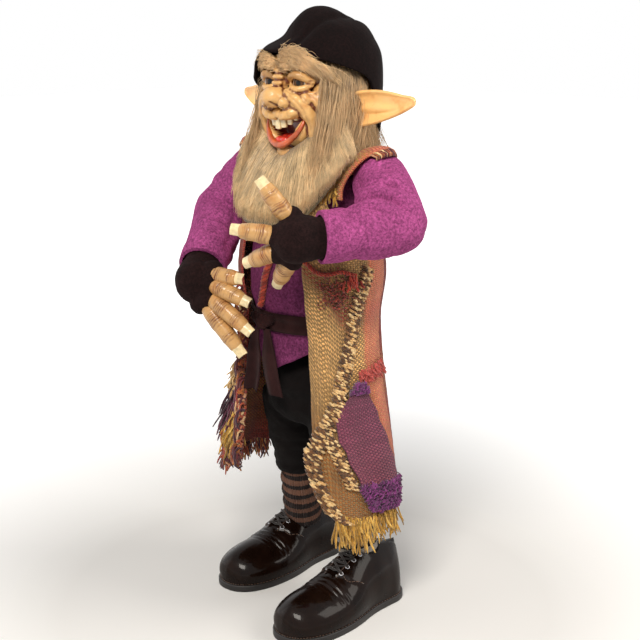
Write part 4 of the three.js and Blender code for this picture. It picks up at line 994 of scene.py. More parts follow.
class GOBLIN_OT_tie_cord(bpy.types.Operator):
    """Makes the red braided tie cord that hangs in front of the tunic"""

    bl_idname = "goblin.tie_cord"
    bl_label = "Tie cord"

    def execute(self, context):
        radius = sizes().braid / 2
        points = []
        for angle, above in CORD_ROUTE:
            z = WAIST_Z + above
            rest = max(tunic_half(z), sash_half(WAIST_Z) if above < SASH_WIDTH else 0)
            points.append(round_trunk(angle, rest + (radius + 0.4) / TRUNK_DEPTH - 0.9, z))
        route = along_line(points, CORD_STEPS)
        braid = []
        for k in range(CORD_STRANDS):
            strand = []
            for i, spot in enumerate(route):
                first, second = side_on(route[min(i + 1, CORD_STEPS)] - route[max(i - 1, 0)])
                turn = i * 0.62 + k * 2 * pi / CORD_STRANDS
                reach = radius * 0.5
                strand.append(spot + first * reach * cos(turn) + second * reach * sin(turn))
            braid.append(strand)
        cord = tubes("tie_cord", braid, [radius * 0.52] * CORD_STRANDS, 9, [0.1, 0.5, 0.9], tips=0.9)
        red = yarn((0.0, tone(120, 34, 24)), (0.5, tone(176, 66, 40)), (1.0, tone(150, 46, 36)))
        dressed(cord, "red_braid", red, "body", "red_cord", "tie_cord")
        sizes().braid / 1000
        return {"FINISHED"}


# Trousers and socks

HIP_Z = 224
HIP_X = 29
FOOT_X = 62
FOOT_Z = 8.6
STANCE_Y = -3
STRIDE = 40
SHOE_LENGTH = 168
ANKLE_FROM_HEEL = 46
TROUSER_HEM_Z = 122
COLLAR_Z = 66


def leg_at(side, z):
    """A place on the middle of a leg."""
    ankle = STANCE_Y - side * STRIDE / 2 + SHOE_LENGTH / 2 - ANKLE_FROM_HEEL
    share = (HIP_Z - z) / (HIP_Z - FOOT_Z)
    return Vector((mix(side * HIP_X, side * FOOT_X, share), ankle * share, z))


def add_trousers():
    """The seat and both legs, in one soft form."""
    forms = [lump((0, 0, 236), (54, 46, 34)), lump((0, 0, 214), (48, 41, 30))]
    for _, side in SIDES:
        for k in range(9):
            z = mix(210, TROUSER_HEM_Z + 4, k / 8)
            radius = mix(32.5, 25, k / 8) + 1.5 * sin(pi * k / 8)
            forms.append(lump(leg_at(side, z), (radius, radius, 17)))
    trousers = fused("trousers", forms, 3.0, 8)

    def crumple(p, n):
        folds = 1.7 * ripple((p.x * 0.7, p.y * 0.7, p.z * 1.5), 15, 2.0) + 0.8 * ripple(p, 7, 4.0)
        return p + n * folds

    reshaped(trousers, crumple)
    for _, side in SIDES:
        hem = leg_at(side, TROUSER_HEM_Z)
        down = (leg_at(side, TROUSER_HEM_Z - 10) - hem).normalized()
        cut_round(trousers, hem, down, 50, 60)
    soft_shaded(trousers)
    trim = plain_cloth(colours().cloth)
    nodes = ("trouser_seat", "trouser_leg_left", "trouser_leg_right")
    dressed(trousers, "trouser_cloth", trim, "body", "black_cloth", *nodes)


def add_sock(name, side, wool):
    """A slouching sock from inside the trouser leg into the shoe."""
    low, high = COLLAR_Z - 14, TROUSER_HEM_Z + 3
    first, second = side_on(leg_at(side, high) - leg_at(side, low))

    def place(u, v):
        z = mix(low, high, v)
        turn = 2 * pi * u
        slouch = 0.9 * sin(0.42 * z + 1.5 * sin(turn + side)) * ease(z, low + 8, low + 26)
        rib = 0.35 * sin(turn * 40)
        reach = 20.2 + slouch + rib - 1.4 * ease(z, TROUSER_HEM_Z - 6, high)
        return leg_at(side, z) + first * reach * cos(turn) + second * reach * sin(turn)

    sock = outwards(grid_sheet(f"sock_{name}", 200, 40, place, 126, high - low))
    soft_shaded(thick(sock, 1.6, -1))
    dressed(sock, f"knit_{name}", wool, "body", "striped_knit", f"sock_{name}")


class GOBLIN_OT_legs(bpy.types.Operator):
    """Makes the black trousers and the two striped socks"""

    bl_idname = "goblin.legs"
    bl_label = "Trousers and socks"

    def execute(self, context):
        add_trousers()
        brown = knit(tone(34, 22, 20), tone(120, 84, 68), sizes().stripe)
        grey = knit(tone(30, 24, 24), tone(168, 160, 150), sizes().stripe)
        add_sock("left", 1, grey)
        add_sock("right", -1, brown)
        return {"FINISHED"}


# Arms, gloves and hands

FOREARM_LENGTH = 73
PALM_REACH = 27
CUFF_DEPTH = 7
SHOULDER_X = 82
SHOULDER_Z = 438
SHOULDER_RADIUS = 27.5
ELBOW_RADIUS = 28.5
WRIST_RADIUS = 23.6
SLEEVE_LUMPS = 20  # on each half of a sleeve
FOLD_DEPTH = {"left": 6.0, "right": 3.2}  # of the folds in the crook of an elbow
ARMS = {
    "left": {
        "shoulder": Vector((SHOULDER_X, 8, SHOULDER_Z)),
        "along": Vector((-50, -86, 0)).normalized(),
        "fingers": (
            ((-6, 2, 16), (-21, -16, 44)),
            ((-10, -10, 2), (-38, -28, 6)),
            ((-12, -6, -12), (-40, -12, -22)),
            ((-9, 4, -18), (-30, 10, -40)),
        ),
    },
    "right": {
        "shoulder": Vector((-SHOULDER_X, 8, SHOULDER_Z)),
        "along": Vector((46, -73, -50)).normalized(),
        "fingers": (
            ((14, 6, 12), (44, 10, 8)),
            ((17, 0, 4), (52, 10, -11)),
            ((16, -4, -10), (56, 9, -37)),
            ((8, -5, -18), (48, 7, -58)),
        ),
    },
}
FINGER_WIDTHS = (
    (0.0, 6.5), (0.2, 7.6), (0.36, 9.2), (0.5, 9.4), (0.6, 8.6), (0.74, 8.6), (0.88, 7.4), (1.0, 6.2)
)
NAILS_FACE = Vector((0.66, -0.7, 0.28))  # the way the backs of the fingers are turned


def on_figure(pos_m):
    """A joint's place, in millimetres on the figure."""
    x, y, z = pos_m
    return Vector(((x - AXIS_X) * 1000, (y - AXIS_Y) * 1000, z * 1000))


def elbow_of(name):
    """The middle of an elbow."""
    return on_figure(JOINTS[f"{name}_elbow_bend"]["pos_m"])


def wrist_of(name):
    """The middle of a sleeve's end."""
    return elbow_of(name) + ARMS[name]["along"] * FOREARM_LENGTH


def palm_of(name):
    """The middle of a palm."""
    return wrist_of(name) + ARMS[name]["along"] * PALM_REACH


def add_sleeve(name):
    """A soft sleeve with folds in the crook of its elbow."""
    shoulder, along = ARMS[name]["shoulder"], ARMS[name]["along"]
    elbow, wrist = elbow_of(name), wrist_of(name)
    back = (shoulder - elbow).normalized()
    bend = elbow + Vector((copysign(6, -shoulder.x), -2, 6))
    forms = []
    for k in range(SLEEVE_LUMPS):
        t = k / (SLEEVE_LUMPS - 1)
        radius = mix(SHOULDER_RADIUS, ELBOW_RADIUS, t) + 1.5 * sin(pi * t)
        forms.append(lump(shoulder.lerp(bend, t), (radius,) * 3, sides=40, rings=28))
    for k in range(1, SLEEVE_LUMPS):
        t = k / (SLEEVE_LUMPS - 1)
        radius = mix(ELBOW_RADIUS, WRIST_RADIUS, t)
        forms.append(lump(bend.lerp(wrist + along * 8, t), (radius,) * 3, sides=40, rings=28))
    sleeve = fused(f"sleeve_{name}", forms, 1.9, 8)
    across = (along - back).normalized()
    crook = (along + back).normalized()

    def fold(p, n):
        away = p - elbow
        inner = ease(away.dot(crook), -24, 10) * ease(n.dot(crook), -0.6, 0.3)
        near = bell(away.length, 48)
        wave = 2 * abs(sin(0.18 * away.dot(across) + 0.7 * ripple(p, 24, 2.0))) - 1
        long = p - back * 0.6 * away.dot(back) - along * 0.3 * away.dot(along)
        valley = max(1 - 4 * abs(ripple(long, 30, 11.0)), 0)
        drag = 2.0 * ripple(long, 24, 6.0) - 2.4 * valley + 0.3 * ripple(p, 8, 9.0)
        point = 6 * ease(away.dot(back - along), -6, 26) * ease(elbow.z - p.z, 0, 22)
        cuff = ease((wrist - p).dot(along), 0, 18)
        return p + n * (FOLD_DEPTH[name] * near * inner * wave + drag * cuff) + up(point)

    reshaped(sleeve, fold)
    cut_round(sleeve, wrist + along * 5, along, 60, 60)
    cut_round(sleeve, wrist - along * CUFF_DEPTH, along, 20.6, 40)
    edge_shaded(sleeve, 50)
    # Painted light: the sleeves' felt is the figure's purple lightened by 1.25, while the tunic's felt is
    # darkened.
    cloth = felt(shifted(colours().purple, 1.25), 0.86, 0.45)
    nodes = (f"sleeve_upper_{name}", f"sleeve_lower_{name}")
    dressed(sleeve, "sleeve_felt", cloth, None, "purple_felt", *nodes)
    start, end = elbow - across * 18, elbow + across * 18
    tuple(at(*start))
    tuple(at(*end))
    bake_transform(sleeve)


class GOBLIN_OT_sleeves(bpy.types.Operator):
    """Makes the two padded purple sleeves, each in one piece across its elbow"""

    bl_idname = "goblin.sleeves"
    bl_label = "Sleeves"

    def execute(self, context):
        for name, _ in SIDES:
            add_sleeve(name)
        return {"FINISHED"}


def add_glove(name):
    """A smooth dark felt glove with a lip round each finger."""
    palm, along, wrist = palm_of(name), ARMS[name]["along"], wrist_of(name)
    forms = [lump(palm, (22, 22, 22)), lump(palm - along * 8, (21,) * 3)]
    for k in range(5):
        forms.append(lump(wrist.lerp(palm, k / 5) - along * 1, (19,) * 3))
    for base, tip in ARMS[name]["fingers"]:
        way = (Vector(tip) - Vector(base)).normalized()
        forms.append(lump(palm + Vector(base) + way * 3, (10.8,) * 3))
    glove = fused(f"glove_{name}", forms, 1.5, 5)

    def felted(p, n):
        return p + n * (0.7 * ripple(p, 12, 3.0) + 0.35 * ripple(p, 5, 5.0))

    soft_shaded(reshaped(glove, felted))
    cloth = felt(shifted(colours().black, 1.3), 0.6, 0.1)
    dressed(glove, "glove_felt", cloth, f"{name}_forearm", "black_felt", f"glove_{name}")


def fingers(name):
    """Four plump fingers with knuckle wrinkles, and their nails."""
    palm = palm_of(name)
    made, nails = [], []
    for k, (base, tip) in enumerate(ARMS[name]["fingers"]):
        root = palm + Vector(base) * 0.65
        end = palm + Vector(tip)
        digit, nail = add_finger(root, end, k)
        made.append(digit)
        nails.append(nail)
    hand = joined(f"hand_{name}", made)
    # The hands' paint is the skin colour darkened towards the crease colour: browner paint, and partly
    # painted shade.
    tan = tuple(mix(a, b, 0.24) for a, b in zip(colours().skin, colours().crease))
    skin = painted_skin(tan, colours().crease, 0.45)
    dressed(hand, "hand_skin", skin, f"{name}_forearm", "painted_skin", f"hand_{name}")
    plates = joined(f"nails_{name}", nails)
    ivory = glazed(tone(232, 210, 162), 0.3, 0.25, 0.4)
    dressed(plates, "nail_horn", ivory, f"{name}_forearm", "tooth")


def add_finger(root, end, seed):
    """One finger along a slight curve, with a nail on its back."""
    way = (end - root).normalized()
    dorsal = (NAILS_FACE - way * NAILS_FACE.dot(way)).normalized()
    aside = way.cross(dorsal)
    reach = (end - root).length + 7
    bow = 3.2 if seed else 1.5

    def knuckle(t):
        return bell(t - 0.46, 0.12) + 0.8 * bell(t - 0.76, 0.07)

    def groove(t, turn):
        waver = 1.3 * sin(turn * 2 + seed) + 0.8 * sin(turn * 5 + 2 * seed)
        line = 0.5 + 0.5 * sin(reach * t * 2.4 + waver + 2.2 * sin(t * 23 + seed))
        back = 0.08 + 0.92 * max(cos(turn), 0)
        return knuckle(t) * back * line**2 * (0.7 + 0.3 * sin(turn * 3 + reach * t))

    def place(u, v):
        turn = 2 * pi * u
        middle = root + way * reach * v + dorsal * bow * sin(pi * v)
        cap = sqrt(max(1 - (max(v - 0.88, 0) / 0.12) ** 2, 0)) * sqrt(min(v / 0.03, 1))
        width = through(FINGER_WIDTHS, v) * cap
        width -= 0.85 * groove(v, turn) * cap
        width += 0.35 * ripple((cos(turn) * 3, sin(turn) * 3, v * 14), 2.0, seed) * cap
        return middle + (dorsal * cos(turn) + aside * sin(turn) * 0.94) * width

    # Brown wash in the knuckle wrinkles, with painted shade on the palm side and towards the finger's root
    # by the glove.
    def wash_and_shade(u, v):
        turn = 2 * pi * u
        back = 0.3 * max(-cos(turn), 0)
        return 0.1 + 0.25 * knuckle(v) + 0.85 * groove(v, turn) + 0.45 * ease(0.34 - v, 0, 0.25) + back

    finger = grid_sheet("finger", 30, 90, place, 56, reach, wash_and_shade)
    soft_shaded(outwards(finger))
    tip = root + way * (reach - 1)

    def plate(u, v):
        side = 2 * u - 1
        taper = mix(1, 0.86, v)
        lift = 5.9 - 3.0 * side**2 - 1.2 * ease(v, 0.4, 1)
        return tip + way * mix(-9.5, 6.5, v) + aside * 5.8 * taper * side + dorsal * lift

    nail = grid_sheet("nail", 10, 12, plate, 11, 15)
    soft_shaded(rounded(thick(nail, 1.3)))
    return finger, nail


class GOBLIN_OT_hands(bpy.types.Operator):
    """Makes the fingerless felt gloves, the wrinkled fingers and the long nails"""

    bl_idname = "goblin.hands"
    bl_label = "Hands"

    def execute(self, context):
        for name, _ in SIDES:
            add_glove(name)
            fingers(name)
        return {"FINISHED"}


# Shoes

SHOE_HALF_WIDTH = 34
HEEL_HALF_WIDTH = 26
SOLE_THICKNESS = 7
WELT = 1.6
TOE_Z = 42
UPPER_BOTTOM_Z = 7.4
HEEL_END = 0.16  # the heel is round up to this share of the length
TOE_START = 0.66  # the toe is round from here
QUARTER_EDGE = 0.57  # where the laced flaps end over the instep
LACE_CROSS = ((-9.5, 0.0), (-5.0, 0.25), (0.0, 0.5), (5.0, 0.75), (9.5, 1.0))  # across, share of a row
WELT_STITCHES = 110
COLLAR_POINTS = 48


def toe_round(t):
    """Share of the width left towards the toe."""
    return max(1 - (max(t - TOE_START, 0) / (1 - TOE_START)) ** 2.3, 0) ** (1 / 2.3)


def shoe_half(t):
    """Half width of the shoe's outline, with t from heel to toe."""
    broad = mix(HEEL_HALF_WIDTH, SHOE_HALF_WIDTH, ease(t, 0.15, 0.66)) - 2.2 * bell(t - 0.36, 0.13)
    heel = sqrt(max(1 - ((HEEL_END - min(t, HEEL_END)) / HEEL_END) ** 2, 0))
    return broad * heel * toe_round(t)


def shoe_crown(t):
    """Height of the shoe's top line."""
    instep = mix(COLLAR_Z + 1, TOE_Z, ease(t, 0.3, 0.72))
    low_toe = mix(UPPER_BOTTOM_Z + 9, instep, toe_round(t) ** 0.8)
    return low_toe - 9 * ease(0.3 - t, 0, 0.3)


def on_shoe(middle, x, t, z):
    """A place on the shoe, from its middle line, the share of its length and its height."""
    return middle + Vector((x, -SHOE_LENGTH * t, z))


def add_upper(middle, name, side):
    """The leather upper, with laced flaps, a tongue, vamp creases and a rolled collar."""

    def flap(x, t):
        edge = QUARTER_EDGE + 0.035 * cos(min(abs(x) / 17, 1) * pi) - 0.16 * ease(abs(x), 16, 34)
        return ease(edge - t, -0.006, 0.006)

    def slit(x, t):
        return ease(5.2 - abs(x), -0.8, 0.8) * ease(QUARTER_EDGE + 0.028 - t, 0, 0.012)

    def crease(x, t, z):
        bend = 0.635 + 0.02 * cos(x / 14)
        lines = sin((t - bend) * SHOE_LENGTH * 1.05 + 0.7 * sin(x / 6 + side))
        near = bell(t - bend, 0.045) * ease(z, 24, 36)
        return near * lines

    def place(u, v):
        t = 0.5 - 0.5 * cos(pi * mix(0.02, 0.98, v))
        t = mix(v, t, 0.55)
        width = max(shoe_half(t) - WELT, 0) * ease(min(v, 1 - v), 0, 0.01)
        top = shoe_crown(t)
        turn = 2 * pi * u
        lift = max(sin(turn), 0) ** 0.72
        x = width * cos(turn) * (1 - 0.3 * lift * lift)
        z = UPPER_BOTTOM_Z + (top - UPPER_BOTTOM_Z) * lift
        if turn > pi:
            z = UPPER_BOTTOM_Z
        open_up = ease(lift, 0.2, 0.6)
        rise = (1.7 * flap(x, t) - 2.6 * slit(x, t) + 1.2 * crease(x, t, z)) * open_up
        belly = 3.4 * sin(pi * min(lift, 1)) * ease(t, 0.1, 0.3) * ease(width, 1, 18)
        along = SHOE_LENGTH - 2 * WELT
        out = Vector((copysign(belly, x), 0, rise))
        return middle + Vector((x, -WELT - along * t, z)) + out

    def wear(u, v):
        turn = 2 * pi * u
        lift = max(sin(turn), 0)
        return 0.35 * ease(v, 0.86, 1.0) + 0.25 * lift * bell(v - 0.63, 0.05)

    upper = grid_sheet(f"shoe_upper_{name}", 120, 170, place, 190, SHOE_LENGTH, wear)
    outwards(upper)
    ankle = leg_at(side, COLLAR_Z - 15)
    way = (leg_at(side, COLLAR_Z + 30) - ankle).normalized()
    cut_round(upper, ankle, way, 21.4, 60)
    edge_shaded(upper, 60)
    hide = leather(colours().leather)
    upper = joined(f"shoe_upper_{name}", [upper, collar(upper, ankle, way)])
    dressed(upper, "shoe_leather", hide, "body", "shoe_leather", f"shoe_upper_{name}")
    return upper


def collar(upper, ankle, way):
    """The rolled edge round the foot's opening."""
    first, second = side_on(way)
    tree = surface(upper)
    ring = []
    for k in range(COLLAR_POINTS + 1):
        turn = 2 * pi * k / COLLAR_POINTS
        out = (first * cos(turn) + second * sin(turn)) * 23.2
        spot = ankle + out + way * 14
        ring.append(on_figure(tree.find_nearest(at(*spot))[0]))
    heights = [p.z for p in ring]
    for k, p in enumerate(ring):
        p.z = sum(heights[(k + d) % COLLAR_POINTS] for d in range(-3, 4)) / 7
    return tubes("collar", [ring], [2.1], 10, [0.15], tips=1.0)


def surface(piece):
    """A piece's surface, for laying things on it."""
    return BVHTree.FromObject(piece, bpy.context.evaluated_depsgraph_get())


def add_sole(middle, name):
    """The sole with its welt and low heel, shaped from one disc."""
    fresh_start()
    bpy.ops.mesh.primitive_circle_add(vertices=120, radius=1, fill_type="NGON", location=(0, 0, 0))
    sole = named(f"shoe_sole_{name}")
    for vertex in sole.data.vertices:
        turn = atan2(vertex.co.x, vertex.co.y)
        t = (1 - cos(turn)) / 2
        vertex.co = at(*on_shoe(middle, copysign(shoe_half(t), turn), t, SOLE_THICKNESS))
    deep = (0, 0, -SOLE_THICKNESS / 1000)
    edited(
        sole,
        lambda: bpy.ops.mesh.extrude_region_move(TRANSFORM_OT_translate={"value": deep}),
        lambda: bpy.ops.mesh.select_all(action="SELECT"),
        lambda: bpy.ops.mesh.normals_make_consistent(inside=False),
    )
    changed(sole, "BEVEL", width=0.0011, segments=3, limit_method="ANGLE")
    edge_shaded(sole, 40)
    rubber = glazed(tone(16, 10, 8), 0.5, 0.4, 0.02)
    dressed(sole, "sole_rubber", rubber, "body", "sole_rubber", f"shoe_sole_{name}")


def seams(middle, name, upper):
    """Stitches round the welt and along the laced flaps."""
    routes = []
    for k in range(WELT_STITCHES):
        turn = 2 * pi * (k + 0.2) / WELT_STITCHES
        further = turn + 0.034
        ends = []
        for a in (turn, further):
            t = (1 - cos(a)) / 2
            x = copysign(max(shoe_half(t) - 1.5, 0.2), sin(a))
            ends.append(on_shoe(middle, x, mix(0.008, 0.992, t), SOLE_THICKNESS + 0.5))
        routes.append([ends[0], ends[0].lerp(ends[1], 0.5) + up(0.3), ends[1]])
    tree = surface(upper)
    for sign in (-1, 1):
        line = [(sign * 7.5, t / 100) for t in range(37, 60)]
        line += [(sign * x, QUARTER_EDGE - 0.018 - 0.16 * ease(x, 16, 34)) for x in range(10, 30, 2)]
        places = [on_skin(middle, tree, x, t) for x, t in line]
        places = [p for p in places if p]
        for a, b in zip(places, places[1:]):
            if 0.5 < (b - a).length < 6:
                routes.append([a.lerp(b, 0.12), a.lerp(b, 0.5) + up(0.25), a.lerp(b, 0.88)])
    thread = tubes(f"stitches_{name}", routes, [0.42] * len(routes), 5, [0.5] * len(routes), tips=0.6)
    brown = yarn((0.0, tone(70, 46, 32)), (1.0, tone(96, 66, 46)))
    dressed(thread, "stitch_thread", brown, "body", "lace")


def on_skin(middle, tree, x, t, lift=0.3):
    """The place on the upper over a spot of its plan, a little above the leather."""
    over = on_shoe(middle, x, t, 0)
    hit, normal, _, _ = tree.ray_cast(at(over.x, over.y, 200), up(-1))
    return on_figure(hit) + normal * lift if hit else None


def laces(middle, name, upper):
    """Eyelets and crossed laces."""
    tree = surface(upper)
    radius = sizes().lace / 2
    rows = [0.555 - 0.055 * k for k in range(4)]
    routes, rings = [], []
    for k, t in enumerate(rows):
        for sign in (-1, 1):
            rings.append(eyelet(middle, tree, sign * 9.5, t))
        bar = [on_skin(middle, tree, x, t + 0.004 * sin(x), 1.0) for x in (-9.5, -6, 0, 6, 9.5)]
        routes.append([p + up(0.9 if abs(i - 2) < 2 else -0.4) for i, p in enumerate(bar)])
        if k:
            for sign in (-1, 1):
                cross = [
                    on_skin(middle, tree, sign * x, mix(rows[k - 1], t, s), 0.9) for x, s in LACE_CROSS
                ]
                routes.append([p + up(0.6) for p in cross])
    routes = [along_line(route, 12) for route in routes]
    widths = [radius] * len(routes)
    lace = tubes(f"shoe_lace_{name}", routes, widths, 8, [0.3] * len(routes), tips=0.8)
    black = yarn((0.0, tone(20, 15, 14)), (1.0, tone(52, 40, 36)))
    dressed(lace, "lace_cord", black, "body", "lace", f"shoe_lace_{name}")
    eyes = joined(f"eyelets_{name}", rings)
    dressed(eyes, "eyelet_steel", bright_steel, "body", "steel")


def eyelet(middle, tree, x, t):
    """A small rolled ring round a lace hole."""
    spot = on_skin(middle, tree, x, t, 0.2)
    nearby = on_skin(middle, tree, x + 0.8, t, 0.2) - spot
    ahead = on_skin(middle, tree, x, t + 0.005, 0.2) - spot
    normal = nearby.cross(ahead).normalized()
    fresh_start()
    bpy.ops.mesh.primitive_torus_add(
        location=at(*spot), major_segments=18, minor_segments=8, major_radius=0.0019, minor_radius=0.0006
    )
    ring = bpy.context.object
    ring.rotation_euler = normal.to_track_quat("Z", "Y").to_euler()
    return soft_shaded(settle(ring))


class GOBLIN_OT_shoes(bpy.types.Operator):
    """Makes the two polished laced shoes"""

    bl_idname = "goblin.shoes"
    bl_label = "Shoes"

    def execute(self, context):
        for name, side in SIDES:
            middle = Vector((side * FOOT_X, STANCE_Y - side * STRIDE / 2 + SHOE_LENGTH / 2, 0))
            shoe = add_upper(middle, name, side)
            add_sole(middle, name)
            seams(middle, name, shoe)
            laces(middle, name, shoe)
        return {"FINISHED"}


# Vest

VEST_EASE = 16.9  # vest over the trunk at the waist
VEST_FLARE = 20
VEST_FOLDS = 7
VEST_BACK_HEM_Z = 124
STRAP_Z = 428
UNDERARM_Z = 388
SIDE_SEAM = 111.9
LEFT_EDGE = 40
RIGHT_EDGE = -32
PATCH_Z = (120, 245)
# Rows of height and degrees round the trunk, or for a hem of degrees and height.
PATCH_LEFT = ((120, 81), (145, 73), (177, 63), (195, 57), (209, 56), (222, 60), (236, 69), (245, 73))
PATCH_RIGHT = ((120, 107), (135, 108), (160, 104), (183, 99), (212, 92), (236, 85), (245, 81))
LEFT_EDGE_SHIFT = ((150, -2), (173, -4), (193, 0), (231, -1), (279, -3), (329, -6), (357, -8))
LEFT_HEM = ((36, 160), (40, 156), (44, 138), (50, 120), (60, 108), (75, 103), (95, 106), (112, 116))
RIGHT_HEM = ((-112, 138), (-90, 144), (-60, 150), (-32, 156))
RIGHT_EDGE_SHIFT = ((150, 13), (200, 12), (225, 9), (245, 4), (262, 0))
TUFT = ((-1, 0.2), (-0.5, 2.0), (0, 2.6), (0.5, 2.0), (1, 0.2))  # place along a bulging stitch, height
FUZZ = ((-1, 0), (-0.5, 1), (0.4, 1.2), (1, 0.2))  # the same for a fuzzy end of the patch
# Routes of degrees round the trunk and height.
TUFT_BANDS = (
    ((86, 356), (77, 327), (73, 298), (69, 274), (62, 245), (58, 227), (50, 206), (44, 191), (39.5, 178)),
    ((40, 180), (39.5, 170), (42, 154), (47, 137), (53, 120), (62, 108)),
    ((50, 196), (56, 178), (62, 158), (67, 143)),
)
ROPE_ROUTE = ((34, 366), (43, 356), (52, 354), (61, 356), (72, 352))
ROPE_STEPS = 70
FRINGE_YARNS = 2.6  # to a degree
SIDE_YARNS = 150
ROPE_ENDS = 16
RED_STITCHES = 190
EDGE_CURLS = 230
STRAP_TUFTS = 110
STRAP_CURLS = 30
PATCH_FUZZ = 620
YARN_CHANCE = random.Random()
between = YARN_CHANCE.uniform
left_hem = partial(through, LEFT_HEM)
right_hem = partial(through, RIGHT_HEM)


def vest_half(z, angle):
    """Half width of the vest's outside."""
    skirt = ease(WAIST_Z - z, 0, WAIST_Z - VEST_BACK_HEM_Z)
    fold = 3.4 * skirt * cos(radians(VEST_FOLDS * angle))
    return trunk_half(max(z, WAIST_Z)) + VEST_EASE + VEST_FLARE * skirt + fold


def on_vest(angle, z, lift=0.0):
    """A place on the vest's outside, or this far above it."""
    return round_trunk(angle, vest_half(z, angle) + lift, z)


def panel_top(angle):
    """Height of a panel's upper edge: the straps near the front, the armhole at the side."""
    from_middle = min(abs(angle), 180 - abs(angle))
    return mix(STRAP_Z, UNDERARM_Z, ease(from_middle, 52, 68))


def back_hem(angle):
    """Height of the back's hem."""
    return VEST_BACK_HEM_Z + 4 * sin(radians(angle * 9))


def panel(name, span, hem, cloth, flat, across=84):
    """One hanging panel with a slightly ragged edge."""

    def place(u, v):
        angle = mix(*span, u)
        ragged = 1.6 * ripple((angle, 0, 0), 2.5) if v < 0.01 else 0
        top = panel_top(angle if angle < 180 else angle - 360)
        z = mix(hem(angle) + ragged, top, v)
        if name == "vest_left_front":
            angle += through(LEFT_EDGE_SHIFT, z) * (1 - u) ** 2
        if name == "vest_right_front":
            angle += through(RIGHT_EDGE_SHIFT, z) * u**2
        spot = on_vest(angle, z)
        drape = 1.3 * ripple((spot.x, spot.y, z * 0.35), 22, 4.0) + 0.35 * ripple(spot, 5, 8.0)
        return on_vest(angle, z, -1.9 + drape)

    sheet = grid_sheet(name, across, 150, place, flat[0] * 900, flat[1] * 900)
    soft_shaded(thick(sheet, sizes().weave))
    slot = "tan_weave" if "front" in name else "red_weave"
    dressed(sheet, f"{name}_weave", cloth, "body", slot, name)
    return sheet


def hang(root, away, length):
    """The route of one loose yarn that falls from a root with a lazy curl."""
    lean = Vector((between(-0.3, 0.3), between(-0.3, 0.3), 0))
    start, swing = between(0, 6.3), between(0.6, 1.8)
    route = []
    for k in range(8):
        t = k / 7
        curl = Vector((cos(start + 5 * t), sin(start + 5 * t), 0)) * swing * t
        route.append(root + away * (1.2 + 2.5 * t) + lean * length * t + curl + up(-length * t))
    return route


def loose(count, span, height, length, lift):
    """Routes of yarns that hang from chance places between two angles of the vest."""
    routes = []
    for _ in range(count):
        angle = between(*span)
        root = on_vest(angle, height(angle), lift)
        routes.append(hang(root, off_trunk(angle), length()))
    return routes


def strands(name, routes, wool, slot="tan_weave", width=0.5):
    """Many yarns in one piece, each with its own shade."""
    radius = sizes().yarn * width
    radii = [radius * between(0.75, 1.2) for _ in routes]
    shades = [YARN_CHANCE.random() for _ in routes]
    piece = tubes(name, routes, radii, 6, shades, tips=0.6)
    return dressed(piece, f"{name}_yarn", wool, "body", slot)


def hem_fringe(name, start, end, hem, length, wool):
    """Loose yarns along a hem."""
    routes = loose(
        int(abs(end - start) * FRINGE_YARNS),
        (start, end),
        lambda angle: hem(angle) + between(0, 9),
        lambda: length * between(0.5, 1.0),
        -1.5,
    )
    return strands(name, routes, wool, width=0.62)


def tuft(angle, z, along, reach):
    """One short bulging stitch on the vest, lying across a band."""
    return [on_vest(angle + along[0] * e * reach, z + along[1] * e * reach, b) for e, b in TUFT]


def tuft_bands(name, wool):
    """The chunky brown and tan bands that cross the left front and edge its hem."""
    routes = []
    for line in TUFT_BANDS:
        length = sum((on_vest(*a) - on_vest(*b)).length for a, b in zip(line, line[1:]))
        rows = int(length / 2.2)
        for k, p in enumerate(along_line([(a, z, 0) for a, z in line], rows)):
            for column in range(-2, 2):
                angle = p.x + (column + 0.5 + 0.5 * (k % 2)) * 2.4 + between(-0.4, 0.4)
                z = p.y + between(-0.8, 0.8) - column * 1.2
                routes.append(tuft(angle, z, (1.0, -0.9), between(1.2, 1.7)))
    return strands(name, routes, wool, width=0.72)


def red_rope(name, wool):
    """A twisted red yarn across the left front, with a few loose ends."""
    line = along_line([on_vest(a, z, 1.6) for a, z in ROPE_ROUTE], ROPE_STEPS)
    routes = []
    for k in range(2):
        twist = []
        for i, p in enumerate(line):
            first, second = side_on(line[min(i + 1, ROPE_STEPS)] - line[max(i - 1, 0)])
            turn = i * 0.75 + pi * k
            twist.append(p + (first * cos(turn) + second * sin(turn)) * 1.2)
        routes.append(twist)
    routes += loose(ROPE_ENDS, (64, 77), lambda _: between(346, 354), lambda: between(5, 13), 0.5)
    return strands(name, routes, wool, "red_cord", 0.8)


def red_stitches(name, wool):
    """Short red stitches worked into the weave under the twisted yarn."""
    routes = []
    for _ in range(RED_STITCHES):
        angle, z = YARN_CHANCE.gauss(58, 6), YARN_CHANCE.gauss(336, 9)
        routes.append(tuft(angle, z, (1.0, 0.1), between(0.4, 0.8)))
    return strands(name, routes, wool, "red_cord", 0.42)


def side_fringe(name, wool):
    """The pink fringe across the side, over the patch."""

    def height(angle):
        return 254 + (angle - 84) * 0.2 + between(-4, 5)

    routes = loose(SIDE_YARNS, (78, 110), height, lambda: between(4, 10), 0.3)
    return strands(name, routes, wool, "red_weave", 0.42)


